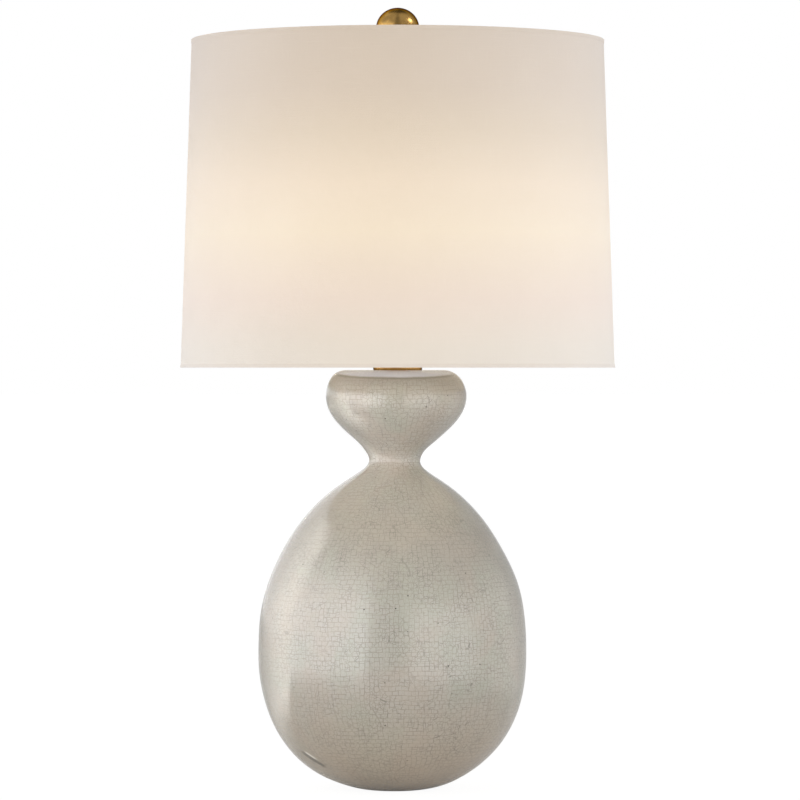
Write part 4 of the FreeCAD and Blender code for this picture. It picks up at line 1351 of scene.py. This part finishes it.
@dataclass
class Finial(SubAssembly):
    """The brass ball that holds the shade down."""

    foot: float = 687.65
    centre: float = 711.0
    half: Point = (20.2, 19.0)
    # The last colour is the dark edge tint: painted shade on the ball's rims
    patina: Finish = AgedBrass(
        "ball_brass", "brass", srgb(202, 162, 96), srgb(136, 100, 50), 0.2, 2200.0, srgb(58, 14, 2)
    )

    def build(self) -> None:
        """Makes and dresses the finial."""
        wide, tall = self.half
        low = self.centre - 0.9455 * tall
        roof = self.foot + 15.1
        section = [(0.0, roof), (5.1, roof)]
        section += [(5.1, self.foot), (8.2, self.foot), (8.5, self.foot + 0.3)]
        section += [(8.5, self.foot + 2.7), (8.2, self.foot + 3.0), (6.8, self.foot + 3.0)]
        section += [(6.6, self.foot + 3.3), (6.6, low - 0.2)]
        section += chain(
            (6.75, low),
            ((0.729 * wide, self.centre - 0.807 * tall), (wide, self.centre - 0.427 * tall),
             (wide, self.centre), 40),
            ((wide, self.centre + 0.5523 * tall), (0.5523 * wide, self.centre + tall),
             (0.0, self.centre + tall), 48),
        )
        ball = lathe("turned_ball", metres(section), 160)
        self.add(ball, Body.FINIAL, self.patina, ["finial_ball"])
        self.dress(BRASS, "finial_insert")


@dataclass(frozen=True)
class Card:
    """A glowing card that only shiny pieces mirror.

    Args:
        name: Its name.
        turn: Where it stands, in degrees from the front round to the left.
        half: Half of what it takes up, in degrees.
        distance: How far it stands from the lamp's axis, in metres.
        levels: Its lower and upper edge, in metres.
        soft: How far its left, right, lower and upper edges fade, as shares of its size.
        strength: Its glow, where 1 is white.
        foot: How near its foot runs to the axis along the floor; 0 for none.
        tint: Its light's red, green and blue.
        fall: How steeply its glow falls towards the left.
        columns: Its faces across, and those of its foot along the floor.
    """

    name: str
    turn: float
    half: float
    distance: float
    levels: Point
    soft: tuple[float, float, float, float]
    strength: float
    foot: float = 0.0
    tint: Triple = (1.0, 1.0, 1.0)
    fall: float = 1.0
    columns: int = 8

    def build(self) -> None:
        """Makes the card."""
        low, high = self.levels
        shares = [k / self.columns for k in range(self.columns + 1)]
        rows = [(self.distance, low, 0.0), (self.distance, high, 1.0)]
        if self.foot > 0:
            run = self.distance - self.foot
            rows = [(self.foot + run * k, 0.002, run * k / (run + high)) for k in shares]
            rows.append((self.distance, high, 1.0))
        angle = math.radians(self.turn)
        ahead = Vector((-math.sin(angle), -math.cos(angle), 0.0))
        across = Vector((-math.cos(angle), math.sin(angle), 0.0))
        across = across * math.tan(math.radians(self.half))
        skin = bmesh.new()
        sheet = skin.loops.layers.uv.new("card")
        grid = []
        for far, level, _ in rows:
            spots = [(ahead + across * (1 - 2 * share)) * far for share in shares]
            grid.append([skin.verts.new(spot + Vector((0, 0, level))) for spot in spots])
        for i in range(len(rows) - 1):
            for k in range(self.columns):
                marks = ((k, i), (k + 1, i), (k + 1, i + 1), (k, i + 1))
                face = skin.faces.new([grid[row][column] for column, row in marks])
                for loop, (column, row) in zip(face.loops, marks):
                    loop[sheet].uv = (shares[column], rows[row][2])
        card = as_piece(self.name, skin)
        card.data.materials.append(self.glow())
        card.visible_camera = card.visible_diffuse = card.visible_shadow = False
        card.visible_transmission = False

    def glow(self) -> bpy.types.Material:
        """The card's clear material with its light."""
        stuff, graph = new_material(self.name)
        u, v, _ = graph.parts(graph.node("ShaderNodeUVMap", {"uv_map": "card"}))
        left, right, lower, upper = self.soft
        glow = u.step(0.0, left) ** self.fall * u.fall(1 - right, 1.0)
        glow = glow * v.step(0.0, lower) * v.fall(1 - upper, 1.0)
        colour = graph.join(*(glow * share for share in self.tint))
        light = graph.make("ShaderNodeEmission", Color=colour, Strength=self.strength)
        clear = graph.make("ShaderNodeBsdfTransparent")
        graph.finish(graph.node("ShaderNodeAddShader", inputs={0: light, 1: clear}))
        return stuff


@dataclass(frozen=True)
class Softbox:
    """A soft rectangular lamp that shiny pieces don't mirror.

    Args:
        name: Its name.
        place: Where it stands, in metres.
        aim: The height on the axis that it points at.
        size: Its width and height, in metres.
        power: Its power, in watts.
        colour: Its light's red, green and blue.
        spread: The angle of its beam, in degrees.
        pieces: The only pieces that it lights; none means all.
    """

    name: str
    place: Triple
    aim: float
    size: Point
    power: float
    colour: Triple = (1.0, 1.0, 1.0)
    spread: float = 180.0
    pieces: tuple[str, ...] = ()

    def build(self) -> None:
        """Makes the lamp."""
        light = bpy.data.lights.new(self.name, "AREA")
        light.shape = "RECTANGLE"
        light.size, light.size_y = self.size
        light.energy = self.power
        light.color = self.colour
        light.spread = math.radians(self.spread)
        lamp = put(self.name, light)
        lamp.location = self.place
        away = Vector((0.0, 0.0, self.aim)) - Vector(self.place)
        lamp.rotation_euler = away.to_track_quat("-Z", "Y").to_euler()
        lamp.visible_glossy = False
        if self.pieces:
            lit = bpy.data.collections.new(self.name + "_lit")
            for name in self.pieces:
                lit.objects.link(bpy.data.objects[name])
            lamp.light_linking.receiver_collection = lit


BASE_PIECES = ("gourd_skin", "felt_disc")
SHADE_PIECES = ("linen_panel", "bottom_hem_tape", "top_hem_tape", "seam_lap")


@dataclass
class Studio:
    """Floor, world, lamps and camera."""

    distance: float = 4.17
    eye: float = 0.3938
    side: float = 0.0022
    aim: float = 0.3635
    lens: float = 200.7
    softboxes: tuple[Softbox, ...] = (
        Softbox("key_left", (-1.9, -1.3, 0.4), 0.2, (2.0, 1.4), 8.0),
        Softbox("fill_right", (1.2, -2.2, 0.5), 0.4, (1.8, 1.0), 5.5),
        Softbox("low_front", (-0.8, -1.7, 0.33), 0.352, (0.4, 0.4), 0.17, spread=10.5,
                pieces=BASE_PIECES),
        Softbox("pane_right", (2.19, -0.19, 0.6), 0.55, (0.8, 0.8), 14.5, (0.55, 0.7, 1.0),
                pieces=SHADE_PIECES),
        Softbox("pane_left", (-2.17, 0.38, 0.6), 0.55, (0.8, 0.8), 10.5, (0.36, 0.56, 1.0),
                pieces=SHADE_PIECES),
    )
    cards: tuple[Card, ...] = (
        Card("side_card", 118.0, 28.5, 0.75, (0.0, 1.1), (1.0, 0.04, 0.16, 0.18), 2.85, 0.12,
             (1.0, 0.98, 0.93), 1.65),
        Card("pane_card", 57.0, 37.0, 1.1, (0.0, 1.6), (0.04, 0.03, 0.38, 0.5), 2.2, 0.15,
             (0.98, 1.0, 1.03)),
        Card("low_card", -44.0, 36.0, 1.1, (0.0, 0.68), (0.18, 0.3, 0.3, 0.25), 1.4, 0.35),
        Card("right_card", -100.0, 40.0, 0.9, (0.0, 0.8), (0.35, 0.5, 0.3, 0.3), 0.75, 0.3,
             (1.0, 0.95, 0.87)),
        Card("glint_card", 61.0, 9.0, 0.55, (0.95, 1.25), (0.5, 0.5, 0.5, 0.5), 1.2),
        Card("spark_card", -84.0, 11.0, 0.55, (0.94, 1.24), (0.3, 0.3, 0.3, 0.3), 8.0),
    )

    def build(self) -> None:
        """Sets the studio up."""
        self.floor()
        self.world()
        for piece in self.softboxes + self.cards:
            piece.build()
        self.bulb_light()
        self.camera()
        bpy.context.scene.view_settings.view_transform = "Standard"

    def floor(self) -> None:
        """A plain pale floor that keeps the lamp's shadow."""
        skin = bmesh.new()
        bmesh.ops.create_grid(skin, x_segments=2, y_segments=2, size=60.0)
        floor = as_piece("floor", skin)
        material, graph = new_material("pale_floor")
        speck = graph.noise(graph.place(), 40.0, 2.0)
        pale = graph.blend(srgb(236, 235, 233), srgb(231, 230, 228), speck)
        matt = graph.make("ShaderNodeBsdfDiffuse", Color=pale)
        white = graph.make("ShaderNodeEmission", Color=WHITE, Strength=1.1)
        path = graph.node("ShaderNodeLightPath", output="Is Camera Ray")
        share = path * 0.86 + path.beside("Is Glossy Ray") * 0.08
        graph.finish(graph.node("ShaderNodeMixShader", inputs={0: share, 1: matt, 2: white}))
        floor.data.materials.append(material)

    def world(self) -> None:
        """White behind the lamp, an even light on it, and the studio in its reflections."""
        world = bpy.data.worlds.new("studio")
        bpy.context.scene.world = world
        world.use_nodes = True
        graph = Graph(world.node_tree)
        rays = graph.node("ShaderNodeLightPath", output="Is Camera Ray")
        seen = rays.most(rays.beside("Is Transmission Ray"))
        glossy = rays.beside("Is Glossy Ray")
        x, y, z = graph.parts(graph.node("ShaderNodeTexCoord", output="Generated"))
        rise = z.arcsine() * (180 / math.pi)
        turn = x.bearing(0 - y) * (180 / math.pi)
        aside = turn.most(0 - turn)
        sky = rise.step(3, 58, 1.3, 0.36)
        back = turn.above(0.0) * -0.5 + 1.0
        room = aside.step(96, 120, 0.55, 0.0) + aside.step(96, 120) * back
        room = room * aside.step(9, 24, 0.5, 1.0) * rise.step(70, 90, 1.0, 0.8)
        room = room * (1 - aside.step(110, 140) * rise.step(45, 60, 0.0, 0.85))
        room = room.most(aside.step(164, 174) * rise.fall(15, 30))
        lit = glossy * (room - sky) + sky
        strength = seen * (1 - lit) + lit
        light = graph.make("ShaderNodeBackground", Color=WHITE, Strength=strength)
        graph.make("ShaderNodeOutputWorld", Surface=light)

    def bulb_light(self) -> None:
        """The bulb's light, which leaves the globe's surface."""
        light = bpy.data.lights.new("bulb_glow", "POINT")
        light.shadow_soft_size = 0.0308
        light.energy = 0.7
        light.color = (1.0, 0.96, 0.93)
        put("bulb_glow", light).location = (0.0, 0.0, 0.535)

    def camera(self) -> None:
        """A long lens at the height of the shade's lower edge."""
        data = bpy.data.cameras.new("view")
        data.lens = self.lens
        data.sensor_width = 36.0
        data.clip_end = 100.0
        camera = put("view", data)
        camera.location = (self.side, -self.distance, self.eye)
        away = Vector((self.side, 0.0, self.aim)) - camera.location
        camera.rotation_euler = away.to_track_quat("-Z", "Y").to_euler()
        bpy.context.scene.camera = camera


def main() -> None:
    """Builds the lamp's looks on the frame."""
    logging.basicConfig(level=logging.INFO, format="%(message)s")
    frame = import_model()
    nodes = frame["nodes"]
    for part in (GourdBase, BrassNeck, LampHolder, Harp, DrumShade, Finial):
        part(nodes).build()
        log.info("%s done", part.__name__)
    Studio().build()


if __name__ == "__main__":
    main()
